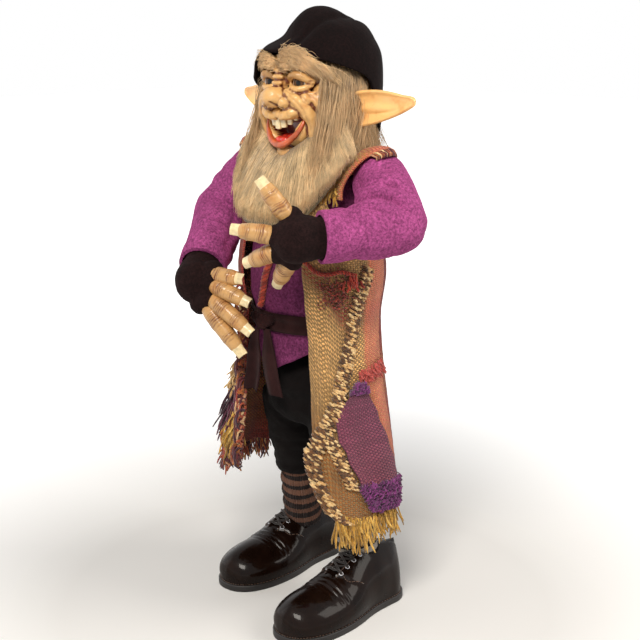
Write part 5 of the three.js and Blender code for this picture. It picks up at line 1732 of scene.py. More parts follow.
def edge_curls(name, wool):
    """Curly yarn loops along the right front's free edge and hem."""
    routes = []
    for k in range(EDGE_CURLS):
        t = YARN_CHANCE.random()
        z = mix(160, 330, t**1.3)
        angle = RIGHT_EDGE + through(RIGHT_EDGE_SHIFT, z) - between(-1.5, 5)
        if k % 3 == 0:
            angle = between(-105, RIGHT_EDGE)
            z = right_hem(angle) + between(0, 60) * YARN_CHANCE.random()
        away = off_trunk(angle)
        root = on_vest(angle, z, -0.5)
        size, turn = between(3, 7), between(0, 6.3)
        aside = Vector((cos(turn), sin(turn), 0)).cross(away).normalized()
        loop = []
        for s in range(7):
            out = root + away * size * sin(pi * s / 6) * 1.3
            loop.append(out + (aside * size * sin(pi * s / 3) * 0.8 + up(-size * 0.45 * s)))
        routes.append(loop)
    return strands(name, routes, wool, "red_weave", 0.8)


def bunch(name, middle, count, length, wool):
    """A thick bunch of loose yarns that stands off the vest round a place on it."""
    routes = []
    for _ in range(count):
        angle = middle[0] + YARN_CHANCE.gauss(0, 5)
        root = on_vest(angle, middle[1] + YARN_CHANCE.gauss(0, 7), -0.5)
        away = off_trunk(angle) * between(0.6, 3.2)
        routes.append(hang(root, away, length * between(0.5, 1.1)))
    return strands(name, routes, wool, "red_weave", 0.6)


def add_strap(name, sign, cloth, mixed, golden):
    """A shoulder strap that laps over the top of the sleeve, with a tufted outer edge."""

    def top(x):
        low, high = 404.0, 456.0
        for _ in range(20):
            z = (low + high) / 2
            low, high = (z, high) if tunic_half(z) > x else (low, z)
        cap = SHOULDER_Z + sqrt(max(29.5**2 - (SHOULDER_X - x) ** 2, 0)) if x > 53 else 0
        return max(low + 2.4, cap + 2)

    def place(u, v):
        turn = pi * mix(-0.05, 1.05, v)
        crest = max(sin(turn), 0) ** 2
        x = mix(mix(30, 42, crest), mix(66, 93, crest), u)
        half = vest_half(STRAP_Z, 0)
        reach = TRUNK_DEPTH * sqrt(max(half**2 - min(x, 58) ** 2, 0)) + 1
        rise = (top(x) + 2 * u * crest - STRAP_Z) * sin(turn)
        wave = 0.8 * ripple((x, 40 * v, sign), 9)
        return sign * x, 4 - reach * cos(turn), STRAP_Z + rise + wave

    strap = grid_sheet(f"vest_strap_{name}", 26, 60, place, 38, 130)
    soft_shaded(thick(strap, sizes().weave))
    dressed(strap, f"strap_{name}_weave", cloth, "body", "tan_weave", f"vest_strap_{name}")
    routes = []
    for _ in range(STRAP_TUFTS):
        v = between(0.32, 0.8)
        p = Vector(place(1.0 - between(0, 0.05), v))
        q = Vector(place(1.0, min(v + 0.04, 1))) + Vector((sign * 4, 0, -4))
        routes.append([p, p.lerp(q, 0.5) + up(1.9), q + up(0.8), q + up(-2)])
    edge = strands(f"strap_tufts_{name}", routes, mixed, width=0.6)
    curls = []
    for _ in range(STRAP_CURLS):
        p = Vector(place(between(0.2, 0.9), between(0.0, 0.1)))
        curls.append(hang(p + Vector((0, -1, 0)), Vector((0, -1, 0)), between(4, 10)))
    ends = strands(f"strap_curls_{name}", curls, golden, width=0.7)


def add_patch(cloth, violet):
    """The purple patch on the left front, with fuzzy ends."""

    def spot(u, v):
        z = mix(*PATCH_Z, v)
        return mix(through(PATCH_LEFT, z), through(PATCH_RIGHT, z), u), z

    def place(u, v):
        angle, z = spot(u, v)
        return on_vest(angle, z, 2.2 + 0.5 * ripple((angle, z, 0), 12))

    patch = grid_sheet("vest_patch", 34, 76, place, 44, 125)
    soft_shaded(thick(patch, 2.0))
    dressed(patch, "patch_weave", cloth, "body", "purple_weave", "vest_patch")
    routes = []
    for k in range(PATCH_FUZZ):
        v = between(-0.03, 0.2) if k % 4 else between(0.93, 1.0)
        angle, z = spot(between(-0.04, 1.04), v)
        root = on_vest(angle, z, 2.6)
        size, turn = between(1.5, 3.4), between(0, 6.3)
        aside = Vector((cos(turn), sin(turn) * 0.6, sin(turn)))
        away = off_trunk(angle)
        routes.append([root + away * size * b + aside * size * s for s, b in FUZZ])
    fuzz = strands("patch_fuzz", routes, violet, "purple_weave", 0.55)


class GOBLIN_OT_vest(bpy.types.Operator):
    """Makes the hand-woven vest with its straps, patch, tufted bands and fringes"""

    bl_idname = "goblin.vest"
    bl_label = "Vest"

    def execute(self, context):
        YARN_CHANCE.seed(7)
        chosen = colours()
        tan, brown, red, gold = (tuple(c) for c in (chosen.tan, chosen.brown, chosen.red, chosen.gold))
        wine, cream, pink = tone(104, 30, 32), tone(236, 204, 148), tone(206, 92, 84)
        tweed = yarn((0.0, shifted(brown, 0.3)), (0.45, brown), (0.55, tan), (1.0, cream))
        golden = yarn((0.0, shifted(gold, 0.5)), (0.6, gold), (1.0, tone(232, 190, 96)))
        dark, ochre = tone(58, 22, 40), tone(176, 108, 44)
        mixed = yarn((0.0, dark), (0.3, wine), (0.55, ochre), (0.8, red), (1.0, cream))
        rosy = yarn((0.0, red), (1.0, pink))
        scarlet = yarn((0.0, tone(140, 36, 26)), (1.0, tone(212, 82, 52)))
        violet = yarn((0.0, tone(64, 18, 62)), (1.0, tone(142, 58, 130)))
        pitch = sizes().thread_pitch

        salmon, rose, honey = tone(226, 122, 86), tone(222, 122, 96), tone(172, 108, 46)
        dim = shifted(tan, 0.6)
        front = [(0.0, dim), (0.64, dim), (0.7, salmon), (0.82, rose), (1.0, rose)]
        pale = shifted(tan, 1.45)
        filling = [(0.0, honey), (0.2, honey), (0.34, tan), (0.5, pale), (0.7, pale)]
        filling += [(0.78, red), (0.84, tan), (1.0, tan)]
        hem = hem_fringe("fringe_left", LEFT_EDGE + 14, SIDE_SEAM - 3, left_hem, 30, golden)
        bands = tuft_bands("tufts_left", tweed)
        rope = red_rope("red_rope", scarlet)
        stitches = red_stitches("red_stitches", yarn((0.0, wine), (1.0, tone(178, 74, 48))))
        side = side_fringe("fringe_side", rosy)
        panel(
            "vest_left_front",
            (LEFT_EDGE, SIDE_SEAM),
            left_hem,
            weave(front, filling, 115, 290, pitch, 0.67),
            (0.13, 0.34),
        )
        warm = [(0.0, red), (0.3, red), (0.5, tone(176, 92, 36)), (0.7, wine), (0.85, red), (1.0, red)]
        dusk = [(0.0, red), (0.3, gold), (0.45, red), (0.75, salmon), (1.0, brown)]
        tassels = hem_fringe("fringe_right", -SIDE_SEAM + 3, RIGHT_EDGE - 2, right_hem, 26, mixed)
        curls = edge_curls("curls_right", mixed)
        creamy = yarn((0.0, tan), (1.0, cream))
        plum = yarn((0.0, tone(40, 14, 30)), (1.0, tone(98, 34, 60)))
        bunches = [
            bunch("bunch_cream", (-52, 236), 70, 16, creamy),
            bunch("bunch_plum", (-50, 212), 130, 34, plum),
            bunch("bunch_gold", (-34, 188), 70, 26, golden),
        ]
        panel(
            "vest_right_front",
            (-SIDE_SEAM, RIGHT_EDGE),
            right_hem,
            weave(warm, dusk, 130, 280, pitch),
            (0.16, 0.32),
        )
        deep = [(0.0, red), (0.3, wine), (0.5, red), (0.7, wine), (1.0, red)]
        low = [(0.0, wine), (0.35, red), (0.5, gold), (0.56, red), (1.0, wine)]
        ends = hem_fringe("fringe_back", SIDE_SEAM + 3, 360 - SIDE_SEAM - 3, back_hem, 24, mixed)
        panel(
            "vest_back", (112, 248), back_hem, weave(deep, low, 260, 290, pitch), (0.29, 0.33), 110
        )
        scarlet_thread = tone(186, 62, 44)
        lengthwise = [(0.0, tan), (0.75, gold), (1.0, salmon)]
        crosswise = [(0.0, tan), (0.34, gold), (0.42, scarlet_thread), (0.66, red), (1.0, gold)]
        for name, sign in SIDES:
            add_strap(name, sign, weave(lengthwise, crosswise, 36, 120, pitch * 0.8), mixed, golden)
        plum_warp = [(0, tone(116, 44, 76)), (1, tone(92, 32, 66))]
        mauve_weft = [(0, tone(166, 86, 100)), (1, tone(140, 64, 94))]
        add_patch(weave(plum_warp, mauve_weft, 44, 125, pitch * 0.75), violet)
        return {"FINISHED"}


# Head

EYE = (19, -31, 529)
EYE_RADIUS = 9.8
SKULL = Vector((0, 8, 524))
SKULL_HALF = Vector((46, 50, 54))
FACE_FORMS = (
    ((0, 10, 524), (45, 46, 54)),
    ((0, -13, 489), (35, 29, 27)),
    ((0, -30, 487), (26, 13, 21)),
    ((0, -33, 463), (12, 10, 9)),
    ((0, -40, 531), (6.4, 8, 18), (6, 0, 0)),
    ((0, -52, 515.5), (11.5, 12, 10)),
    ((0, -43, 500), (9, 7, 5.5)),
    ((0, -45.5, 540), (7.5, 3.2, 2.6)),
    ((0, -46, 534), (7.2, 3.2, 2.6)),
    ((0, -47, 528.5), (7, 3.2, 2.5)),
    ((0, -48.5, 523.5), (7.4, 3.2, 2.4)),
    ((0, 0, 474), (23, 23, 14)),
)
PAIRED_FORMS = (
    ((9.8, -47.5, 511), (7.2, 8.2, 6.6), (0, 0, 0)),
    ((12.5, -42.5, 500), (13, 8.6, 6.4), (0, -20, 20)),
    ((34, -16, 516), (13, 16, 14), (0, 0, 0)),
    ((20, -33, 547), (20, 9, 7), (0, 8, 12)),
    ((24, -36, 513), (9, 7, 8), (0, 0, 0)),
)
FOLDS = (
    (
        ((11, -44, 519), (18, -43, 514), (26, -37, 505), (31, -31, 492), (28, -29, 475)),
        (5, 7.4, 7.4, 5.6, 3.5),
    ),
    (((25, -35, 520), (35, -28, 511), (40, -20, 498), (37, -18, 480)), (4.4, 6.6, 6.4, 4)),
    (((9, -37.5, 527), (14, -41, 524), (22, -40.5, 523.2), (31, -32, 526.5)), (2.2, 3, 3, 2.2)),
    (((8.5, -38, 531), (14, -42, 535.2), (22, -41.5, 535.6), (32, -32, 530)), (2.6, 3.8, 4, 2.8)),
    (((11, -40, 521), (19, -40.5, 517.5), (28, -36, 518), (36, -27, 522)), (1.8, 2.6, 2.6, 1.8)),
)
CREASES = (
    (((32, 530), (38, 534), (43, 538)), 0.7),
    (((33, 527), (39, 527), (45, 526)), 0.7),
    (((32, 524), (38, 520), (44, 515)), 0.6),
    (((13, 516), (21, 509), (26, 499), (27, 486)), 0.6),
    (((17, 518), (25, 512), (31, 502), (32, 485)), 0.6),
    (((23, 519), (32, 512), (37, 500), (37, 484)), 0.6),
    (((28, 521), (38, 513), (42, 502), (42, 488)), 0.6),
    (((12, 522), (19, 519.5), (27, 520), (34, 523)), 0.6),
    (((0, 537), (7, 538.5)), 0.6),
    (((0, 531), (7, 531.5)), 0.6),
    (((0, 526), (7, 525.5)), 0.6),
    (((5, 511), (8, 507.5), (11, 505.5)), 1.6),
    (((8, 503), (9, 498)), 0.4),
    (((15, 503), (17, 498)), 0.4),
    (((0, 459), (6, 461), (10, 465)), 0.5),
    (((26, 486), (25, 476), (19, 468)), 0.7),
)
HOLLOW_BEND = 0.045  # millimetres below its neighbours at which a point counts as a deep valley
TEETH = (  # place across, width, length, lean in degrees
    (-15, 4.6, 6, 5),
    (-9, 5.6, 9, -3),
    (-2.4, 6.6, 11, 2),
    (4.6, 6.2, 9.5, -4),
    (11, 5.2, 7.5, 6),
    (16, 4.2, 5, 9),
)
FOLD_LUMPS = 14  # along each fold of the face


def add_face():
    """One skin over the head's lumps and folds, creased and hollowed for the mouth."""
    forms = [lump(*form) for form in FACE_FORMS]
    for side in (-1, 1):
        for (x, y, z), half, (a, b, c) in PAIRED_FORMS:
            forms.append(lump((side * x, y, z), half, (a, side * b, side * c)))
        for points, widths in FOLDS:
            spots = along_line([(side * x, y, z) for x, y, z in points], FOLD_LUMPS)
            table = [(k / (len(widths) - 1), width) for k, width in enumerate(widths)]
            for k, p in enumerate(spots):
                forms.append(lump(p, (through(table, k / FOLD_LUMPS),) * 3, sides=14, rings=9))
    face = fused("face", forms, 1.05, 4)
    crease_face(face)
    soft_shaded(face)
    skin = painted_skin(colours().skin, colours().crease)
    face.data.materials.append(finish_of("face_skin", skin))
    face.data.materials.append(finish_of("mouth_lining", glazed(tone(112, 26, 18), 0.35)))
    inside = [mouth_depth(on_figure(v.co), 14) for v in face.data.vertices]
    for facet in face.data.polygons:
        deep = sum(inside[k] for k in facet.vertices) / len(facet.vertices)
        facet.material_index = int(deep > 0.4)
    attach(face, "head")
    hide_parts("head_casting")


def mouth_depth(p, behind=0):
    """How far a place on the face lies in the open mouth, from 0 to 1."""
    wide = min(abs(p.x) / 22, 1.3)
    top = 494 + 4 * wide**2
    low = 469.5 + 26 * wide**1.7
    if p.y > -28 + behind or p.z > top or p.z < low:
        return 0
    return ease(min(p.z - low, top - p.z), 0, 2.6)


def crease_face(face):
    """Presses wrinkles into the face, and stores where the brown wash and the painted shade lie."""
    tree = surface(face)
    marks = []
    for line, depth in CREASES:
        for side in (-1, 1):
            for p in along_line([(side * x, 0, z) for x, z in line], 24):
                spot = tree.ray_cast(at(p.x, -150, p.z), Vector((0, 1, 0)))[0]
                if spot:
                    marks.append((spot, depth))
    near = KDTree(len(marks))
    for k, (spot, _) in enumerate(marks):
        near.insert(spot, k)
    near.balance()
    mesh = face.data
    points = [v.co.copy() for v in mesh.vertices]
    normals = [v.normal.copy() for v in mesh.vertices]
    hollow = hollows(mesh, points, normals)
    shades = []
    for k, (point, normal) in enumerate(zip(points, normals)):
        _, mark, gap = near.find(point)
        press = bell(gap * 1000, 1.3) * marks[mark][1]
        place = on_figure(point)
        off_lid = ((abs(place.x) - 19) / 13) ** 2 + ((place.z - 534) / 7) ** 2
        lids = 0.42 * exp(-off_lid) * ease(-place.y, 15, 28)
        under = 0.22 * ease(486 - place.z, 0, 22)
        # Brown wash with painted shade in the pressed creases, painted shade in the hollows of the form, and
        # a darker tone round the eyes and towards the chin.
        shades.append(min(0.14 + 0.5 * press + 0.72 * hollow[k] + under + lids, 1))
        fine = 0.5 * ripple(place, 5, 3.0) - press * 1.3
        moved = point + normal * fine / 1000
        points[k] = moved + Vector((0, 0.019 * mouth_depth(place), 0))
    mesh.vertices.foreach_set("co", [c for point in points for c in point])
    mesh.update()
    values = mesh.attributes.new("shade", "FLOAT", "POINT")
    values.data.foreach_set("value", shades)


def hollows(mesh, points, normals):
    """How much each point lies in a valley, from 0 to 1."""
    spots = np.array(points) * 1000
    edges = np.array([edge.vertices[:] for edge in mesh.edges])
    ways = np.concatenate((edges, edges[:, ::-1]))
    share = np.bincount(ways[:, 0], minlength=len(spots))

    def around(values):
        sums = [np.bincount(ways[:, 0], column[ways[:, 1]], len(spots)) for column in values.T]
        return np.stack(sums, 1) / share[:, None]

    bend = np.sum((around(spots) - spots) * np.array(normals), axis=1, keepdims=True)
    for _ in range(3):
        bend = (bend + around(bend)) / 2
    return np.clip(bend[:, 0] / HOLLOW_BEND, 0, 1)


def mouth():
    """The glossy lower lip, the tongue and irregular teeth."""
    curve = ((-24, -33, 497.5), (-21, -38, 486), (-12, -43, 475), (0, -44.5, 470.5))
    points = [*curve, *((-x, y, z) for x, y, z in reversed(curve[:-1]))]
    forms = [
        lump(p, (mix(1.6, 3.4, sin(pi * k / 40)),) * 3, sides=14, rings=9)
        for k, p in enumerate(along_line(points, 40))
    ]
    lip = soft_shaded(fused("lower_lip", forms, 0.9, 4))
    dressed(lip, "lip_paint", glazed(tone(186, 84, 40), 0.3, 0.4, 0.4), "head", "mouth_red")
    forms = [lump((0, -33, 475), (11, 12, 5), (18, 0, 0)), lump((0, -40, 475.5), (9, 5, 3.5))]
    tongue = fused("tongue", forms, 0.9, 4)
    reshaped(tongue, lambda p, n: p - n * 1.2 * bell(p.x, 1.4))
    soft_shaded(tongue)
    dressed(tongue, "tongue_paint", glazed(tone(206, 58, 44), 0.16), "head", "mouth_red", "tongue")
    teeth = []
    for x, wide, long, lean in TEETH:
        fresh_start()
        y = -43 + 0.02 * x * x
        bpy.ops.mesh.primitive_cube_add(size=1, location=at(x, y, 496 - long / 2 + 0.01 * x * x))
        tooth = bpy.context.object
        tooth.scale = (wide / 1000, 0.0042, long / 1000)
        tooth.rotation_euler = (0.1, radians(lean), x * 0.02)
        settle(tooth)
        changed(tooth, "BEVEL", width=0.0012, segments=2)
        teeth.append(soft_shaded(rounded(tooth, 2)))
    teeth = joined("upper_teeth", teeth)
    dressed(teeth, "tooth_enamel", glazed(tone(232, 212, 164), 0.25), "head", "tooth", "upper_teeth")


def add_eye(name, side):
    """A glassy eye that looks to the figure's left."""
    x, y, z = EYE
    middle = Vector((side * x, y, z))
    ball = lump(middle, (EYE_RADIUS,) * 3, sides=64, rings=40)
    gaze = Vector((0.22, -0.97, -0.06)).normalized()
    shade = ball.data.attributes.new("shade", "FLOAT", "POINT")
    away = [gaze.angle(on_figure(v.co) - middle) / 1.2 for v in ball.data.vertices]
    shade.data.foreach_set("value", [min(a, 1) for a in away])
    ball.name = ball.data.name = f"eye_{name}"

    def glass(label):
        eye = Finish(label, Roughness=0.3, Specular_IOR_Level=0.1, Coat_Weight=0.35, Coat_Roughness=0.04)
        iris, rim = tone(104, 66, 34), tone(44, 26, 14)
        white, corner = tone(196, 184, 166), tone(190, 130, 100)
        rays = eye.sum("ADD", eye.shade(), eye.grey(eye.noise(eye.place(), 900, 3), -0.02, 0.02))
        stops = ((0.0, 0.004), (0.22, 0.004), (0.26, iris), (0.48, rim), (0.53, white), (0.85, corner))
        eye.colour(eye.ramp(rays, *stops))
        return eye

    dressed(soft_shaded(ball), "eye_glass", glass, "head", "eye_glass", f"eye_{name}")


def add_ear(name, side):
    """A long pointed ear, hollow in front."""

    def place(u, v):
        s, t = v, 2 * u - 1
        rim = sqrt(max(1 - s**2.2, 0))
        tall = (15 * rim + 5 * sin(pi * min(s * 1.2, 1))) if t > 0 else 15 * rim * (1 - 0.35 * s)
        roll = 2.4 * (1 - s) * ease(abs(t), 0.75, 1)
        hollow = (6 * (1 - s) + 1) * (1 - t * t) * ease(s, 0.0, 0.25)
        ridge = 2.6 * bell(t - 0.3 + 0.5 * s, 0.2) * sin(pi * min(s * 1.3, 1))
        y = 2 + 15 * s + hollow - ridge - roll
        return side * (37 + 77 * s), y, 501 + 12 * s * s + (tall + 0.4) * t

    # Painted shade in the hollow by the ear's root, and a brown wash along the crease beside its ridge.
    def wash_and_shade(u, v):
        t = 2 * u - 1
        hollow = 0.4 * ease(0.35 - v, 0, 0.3) * (1 - abs(t))
        return hollow + 0.22 * bell(t - 0.15 + 0.5 * v, 0.1) * (1 - v)

    ear = grid_sheet(f"ear_{name}", 30, 44, place, 38, 78, wash_and_shade)
    soft_shaded(rounded(thick(ear, 3.2)))
    # Painted light: the ears' paint is the skin colour made 1.34 times brighter.
    paint = painted_skin(shifted(colours().skin, 1.34), colours().crease, 0.8)
    dressed(ear, "ear_skin", paint, "head", "painted_skin", f"ear_{name}")


class GOBLIN_OT_face(bpy.types.Operator):
    """Makes the wrinkled laughing face with its eyes, mouth and long ears"""

    bl_idname = "goblin.face"
    bl_label = "Face"

    def execute(self, context):
        add_face()
        mouth()
        for name, side in SIDES:
            add_eye(name, side)
            add_ear(name, side)
        return {"FINISHED"}


# Hat and hair

HAT_EDGE_Z = 538
HAT_TILT = 22
HAIR_STEPS = 8
HAIR_SHARES = [k / (HAIR_STEPS - 1) for k in range(HAIR_STEPS)]
BEARD_STRANDS = 4050  # on each side
LOCK_STRANDS = 4400  # on each side
BROW_STRANDS = {"left": 2600, "right": 1500}
BEARD_SPAN = 70  # degrees to each side of the chin


def halved(piece, point, normal):
    """Cuts away what lies beyond a plane, and leaves the cut open."""
    return edited(
        piece,
        lambda: bpy.ops.mesh.bisect(plane_co=at(*point), plane_no=normal, clear_outer=True, use_fill=False),
    )


def gathered(routes, cell, share):
    """Draws the ends of neighbouring strands together, so that they form locks."""
    cells = np.floor((routes[:, 0] + 0.3 * routes[:, 2]) / cell).astype(int)
    _, lock = np.unique(cells, axis=0, return_inverse=True)
    lock = lock.reshape(-1)
    size = np.bincount(lock)
    middle = np.stack(
        [[np.bincount(lock, routes[:, k, axis]) / size for axis in range(3)] for k in range(routes.shape[1])]
    )
    pull = share * np.linspace(0, 1, routes.shape[1]) ** 1.5
    return routes + (middle.transpose(2, 0, 1)[lock] - routes) * pull[None, :, None], lock


def hair_piece(name, routes, colour, finish, nodes=(), cell=7.0, share=0.55):
    """Fine tapered strands along routes, dark at their roots. routes has strands, steps and x, y, z."""
    count, steps, _ = routes.shape
    chance = np.random.default_rng(len(name) * 31 + count)
    routes, lock = gathered(routes, cell, share)
    ahead = np.gradient(routes, axis=1)
    first = np.cross(ahead, (0.35, 0.25, 0.9))
    first /= np.linalg.norm(first, axis=2, keepdims=True)
    second = np.cross(ahead, first)
    second /= np.linalg.norm(second, axis=2, keepdims=True)
    taper = np.linspace(1, 0.25, steps)[None, :, None]
    width = sizes().hair / 2 * chance.uniform(0.7, 1.3, (count, 1, 1)) * taper
    turns = [2 * pi * k / 3 for k in range(3)]
    rings = [routes + width * (first * cos(a) + second * sin(a)) for a in turns]
    points = np.stack(rings, axis=2).reshape(-1, 3)
    by_strand = chance.uniform(-0.22, 0.22, (count, 1))
    by_lock = chance.uniform(-0.14, 0.14, lock.max() + 1)[lock][:, None]
    # Painted shade: each strand's shade rises from its dark root, deep in the hair, to its pale end, with a
    # chance change for each strand and each lock.
    shade = by_strand + by_lock + np.linspace(0.4, 0.9, steps)[None, :]
    tints = np.repeat(shade.reshape(-1), 3)
    faces = []
    for s in range(count):
        base = s * steps * 3
        faces.append((base + 2, base + 1, base))
        for i in range(steps - 1):
            a = base + 3 * i
            faces += [(a, a + 1, a + 4, a + 3), (a + 1, a + 2, a + 5, a + 4), (a + 2, a, a + 3, a + 5)]
        end = base + 3 * (steps - 1)
        faces.append((end, end + 1, end + 2))
    piece = stitched_mesh(name, points, faces, tints)
    return dressed(piece, finish, fur(colour), "head", "grey_fur", *nodes)


class GOBLIN_OT_hat(bpy.types.Operator):
    """Makes the soft black felt hat"""

    bl_idname = "goblin.hat"
    bl_label = "Hat"

    def execute(self, context):
        tilt = radians(HAT_TILT)
        below = Vector((0, -sin(tilt), -cos(tilt)))
        hat = lump(SKULL, SKULL_HALF + Vector((12, 12, 17)), sides=96, rings=64)
        hat.name = hat.data.name = "hat"
        halved(hat, (0, 0, HAT_EDGE_Z), below)

        def slouch(p, n):
            back = 0.719 * p.x + 0.695 * (p.y - 8)
            dent = 9 * ease(-back, -10, 26) * bell(p.z - 577, 13)
            dent += 5 * ease(back, 2, 30) * bell(p.z - 589, 9)
            peak = 4 * exp(-((p.x / 24) ** 2) - ((p.y - 4) / 22) ** 2) * ease(p.z, 575, 595)
            bag = 7 * ease(back, 0, 40) * ease(p.z, 500, 560)
            bag += 7 * ease(-back, 20, 50) * ease(567 - p.z, 0, 15)
            nape = 38 * ease(p.y, 6, 48) * ease(552 - p.z, 0, 36)
            nape += 24 * ease(565 - p.z, 0, 16) * ease(-p.x, 16, 44)
            crimp = 2.4 * bell(p.x - 16 - 0.5 * (p.z - 570), 4) * ease(p.z, 552, 566)
            folds = 1.8 * ripple(p, 26, 2.0) + 0.5 * ripple(p, 9, 5.0) - crimp
            return p + n * (bag + folds - dent) + up(peak - nape)

        reshaped(hat, slouch)
        soft_shaded(rounded(thick(hat, sizes().felt + 0.6, -1)))
        wool = felt(shifted(colours().black, 0.55), 0.6, 0.05)
        dressed(hat, "hat_felt", wool, "head", "black_felt", "hat")
        return {"FINISHED"}


def add_cap():
    """The backing of the wig and of the beard, painted dark as the shade deep in the hair."""
    cap = lump(SKULL, SKULL_HALF + Vector((3, 3, 3)), sides=48, rings=32)
    cap.name = cap.data.name = "wig_cap"
    halved(cap, (0, -19, 0), (0, -1, 0))
    halved(cap, (0, 0, 470), (0, 0, -1))
    soft_shaded(thick(cap, 1.5, -1))
    # Painted shade: with no stored shade, the backings take the fur's darkest root colour.
    dressed(cap, "hair_backing", fur(shifted(colours().hair, 1.5)), "head", "grey_fur", "wig")

    def place(u, v):
        angle = mix(-BEARD_SPAN, BEARD_SPAN, u)
        return beard_line(np.array([angle]), mix(1, 0.14, v), -6.0)[0]

    backing = grid_sheet("beard_backing", 60, 30, place, 150, 80)
    soft_shaded(thick(backing, 1.5))
    dressed(backing, "beard_root", fur(shifted(colours().beard, 1.6)), "head", "grey_fur", "beard")


def beard_line(angle, t, lift=0.0):
    """Places on the beard's outside: t is 0 at the jaw and 1 at the tips."""
    wide = np.abs(angle) / BEARD_SPAN
    top = 464 + 36 * wide**1.5
    low = 396 + 58 * np.clip((wide - 0.35) / 0.65, 0, 1) ** 1.4
    root = 38 + 6 * wide
    reach = root + (75 + lift - root) * np.minimum(t * 1.3, 1) ** 0.9
    z = top + (low - top) * t + 2 * np.sin(np.minimum(t * 2, 1) * pi)
    turn = np.radians(angle)
    return np.stack((reach * np.sin(turn), -reach * np.cos(turn), z), axis=-1)


def loose_waves(chance, count, size):
    """Small loose waves of single strands, that grow towards their ends."""
    phase = chance.uniform(0, 2 * pi, (count, 1, 3))
    pace = chance.uniform(4, 9, (count, 1, 3))
    wild = size * np.where(chance.random((count, 1, 1)) < 0.1, 2.6, 1)
    s = np.linspace(0, 1, HAIR_STEPS)[None, :, None]
    return wild * s * (np.sin(phase + pace * s) - np.sin(phase))


def beard(chance, name, side):
    """One half of the beard."""
    count = BEARD_STRANDS
    angle = side * 76 * chance.random(count) ** 0.9
    start = chance.uniform(0.0, 0.55, count) * chance.random(count)
    end = chance.uniform(0.66, 1.05, count)
    lift = chance.uniform(-6, 3, count)
    drift = chance.normal(0, 2.6, count)
    routes = []
    for s in HAIR_SHARES:
        t = start + (end - start) * s
        swirl = angle + drift * s + 0.8 * np.sin(5 * s + angle * 0.4)
        routes.append(beard_line(swirl, t, lift + 1.5 * s))
    routes = np.stack(routes, axis=1) + loose_waves(chance, count, 0.9)
    hair_piece(f"beard_{name}", routes, colours().beard, "beard_hair")


def locks(chance, name, side):
    """The long hair of one side, from under the hat to the shoulder."""
    count = LOCK_STRANDS
    turn = chance.uniform(-0.68, pi / 2, count)
    high = mix(-0.35, 0.62 - 0.75 * np.clip(turn / 1.2, 0, 1), chance.random(count))
    lift = chance.uniform(3, 10, count)
    long = chance.uniform(36, 104, count)
    ends = 444 + 8 * np.clip(turn * 2, 0, 1) + 24 * chance.random(count) ** 2
    flat = np.sqrt(1 - high**2)
    ring = np.stack((side * np.cos(turn) * flat, np.sin(turn) * flat, high), axis=1)
    spot = np.array(SKULL) + ring * np.array(SKULL_HALF)
    routes = [spot]
    sway = chance.normal(0, 0.15, (count, 2))
    for s in HAIR_SHARES[1:]:
        wave = 0.25 * np.sin(11 * turn + 5 * s) + 0.2 * np.sin(27 * turn + 7 * high)
        step = np.stack((sway[:, 0] + side * 0.1, sway[:, 1] - 0.02 + wave, -np.ones(count)), axis=1)
        spot = spot + step * (long / HAIR_STEPS)[:, None]
        spot[:, 2] = np.maximum(spot[:, 2], ends)
        spot = off_skull(spot, lift[:, None], 1)
        edge = HAT_EDGE_Z - 0.4 * spot[:, 1] - 22 * (spot[:, 1] > 20) - 20 * (spot[:, 0] < -25)
        spot = np.where((spot[:, 2] > edge)[:, None], off_skull(spot, 4, 99), spot)
        routes.append(spot)
    front = np.clip((0.2 - turn) / 0.5, 0, 1)
    around = 40 + 28 * np.clip((turn + 0.68) / 0.8, 0, 1) + chance.normal(0, 5, count)
    fall, rise = chance.uniform(0.05, 0.95, count), chance.uniform(-1, 5, count)
    goal = beard_line(side * around, fall, rise)
    for k, s in enumerate(HAIR_SHARES):
        pull = (front * max(s - 0.35, 0) / 0.65)[:, None]
        routes[k] = routes[k] * (1 - pull) + goal * pull
    routes = np.stack(routes, axis=1)
    fluff = loose_waves(chance, count, 1.3) * (routes[:, :, 2:] < HAT_EDGE_Z - 24)
    hair_piece(f"hair_{name}", routes + fluff, colours().hair, "side_hair", (), 6.0, 0.6)


def off_skull(spot, lift, reach):
    """Moves places that lie within the given share of the skull's size out to its skin."""
    half = np.array(SKULL_HALF) + lift
    around = (spot - np.array(SKULL)) / half
    size = np.linalg.norm(around, axis=1)
    moves = (size < reach) & (around[:, 2] > -0.75)
    return np.array(SKULL) + around * half * np.where(moves, 1 / np.maximum(size, 0.3), 1)[:, None]


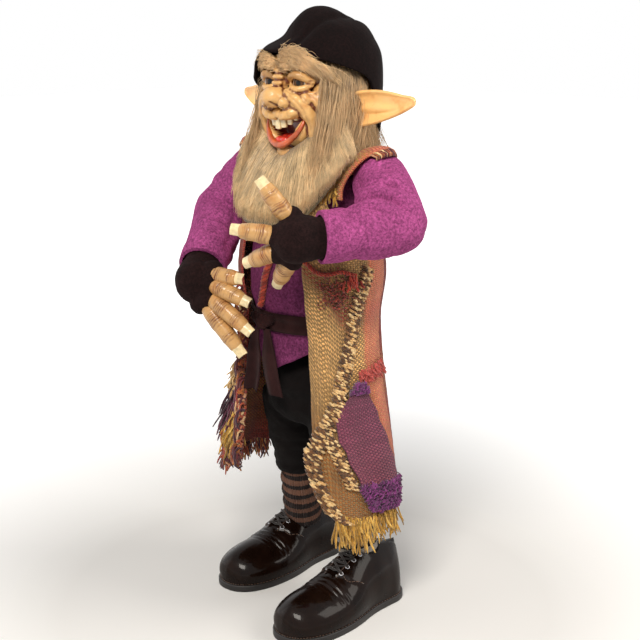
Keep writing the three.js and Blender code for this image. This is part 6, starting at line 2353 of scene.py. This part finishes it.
def brow(chance, name, side):
    """One big soft brow that runs back into the side hair."""
    count = BROW_STRANDS[name]
    across = chance.random(count) * (1 if side > 0 else 0.72)
    x = 2 + 33 * across + chance.normal(0, 1.5, count)
    y = -45 + 16 * across**2.4
    tall = (17 if side > 0 else 12) * (0.4 + 0.6 * np.sin(pi * np.clip(across * 1.1 + 0.1, 0, 1)))
    z = 539 + 5 * np.sin(across * pi) + tall * chance.random(count)
    y = y - 3 * np.clip((z - 548) / 10, 0, 1)
    spread = chance.normal(0, 1, (count, 3))
    long = chance.uniform(8, 30, count) * (1 if side > 0 else 0.6)
    rise = chance.uniform(0, 0.8, count) * (1 - across)
    routes = []
    for s in HAIR_SHARES:
        out = long * s
        px = x + out * (0.4 + 0.3 * across) + spread[:, 0] * 4 * s
        bulge = 5 * np.sin(s * pi * 0.8) * (1 - 0.5 * across)
        py = y - bulge + out * (0.08 + 0.5 * across) + spread[:, 1] * 2.5 * s
        pz = z + out * (rise * (1 - 0.5 * s) - (0.1 + 0.5 * across) * s) + spread[:, 2] * 3 * s
        routes.append(np.stack((side * px, py, pz), axis=1))
    routes = np.stack(routes, axis=1) + loose_waves(chance, count, 1.1)
    # Painted light: the brows' fur is the hair colour made 1.4 times paler.
    pale = shifted(colours().hair, 1.4)
    hair_piece(f"brow_{name}", routes, pale, "brow_hair", (f"brow_{name}",), 4.0, 0.5)


class GOBLIN_OT_hair(bpy.types.Operator):
    """Makes the long hair, the bushy brows and the beard"""

    bl_idname = "goblin.hair"
    bl_label = "Hair"

    def execute(self, context):
        chance = np.random.default_rng(11)
        add_cap()
        for name, side in SIDES:
            locks(chance, name, side)
            brow(chance, name, side)
            beard(chance, name, side)
        return {"FINISHED"}


# Panel and start

STEPS = (
    GOBLIN_OT_stage,
    GOBLIN_OT_tie_cord,
    GOBLIN_OT_inner_frame,
    GOBLIN_OT_tunic,
    GOBLIN_OT_sash,
    GOBLIN_OT_legs,
    GOBLIN_OT_sleeves,
    GOBLIN_OT_hands,
    GOBLIN_OT_shoes,
    GOBLIN_OT_vest,
    GOBLIN_OT_face,
    GOBLIN_OT_hair,
    GOBLIN_OT_hat,
)


class GOBLIN_PT_pieces(bpy.types.Panel):
    """Lists the figure's pieces, sizes and colours in the sidebar"""

    bl_idname = "GOBLIN_PT_pieces"
    bl_label = "Goblin figure"
    bl_space_type = "VIEW_3D"
    bl_region_type = "UI"
    bl_category = "Goblin"

    def draw(self, context):
        """Draws a button for each piece and a field for each choice."""
        for step in STEPS:
            self.layout.operator(step.bl_idname)
        for group in (context.scene.goblin_sizes, context.scene.goblin_colours):
            for key in type(group).__annotations__:
                self.layout.prop(group, key)


CLASSES = (GoblinSizes, GoblinColours, *STEPS, GOBLIN_PT_pieces)


def register():
    """Registers the classes and hangs the choices on the scene."""
    for kind in CLASSES:
        bpy.utils.register_class(kind)
    bpy.types.Scene.goblin_sizes = bpy.props.PointerProperty(type=GoblinSizes)
    bpy.types.Scene.goblin_colours = bpy.props.PointerProperty(type=GoblinColours)


def unregister():
    """Takes the choices and classes away again."""
    del bpy.types.Scene.goblin_colours
    del bpy.types.Scene.goblin_sizes
    for kind in reversed(CLASSES):
        bpy.utils.unregister_class(kind)


def main():
    """Makes every piece in order."""
    register()
    for step in STEPS:
        family, name = step.bl_idname.split(".")
        getattr(getattr(bpy.ops, family), name)()


if __name__ == "__main__":
    main()
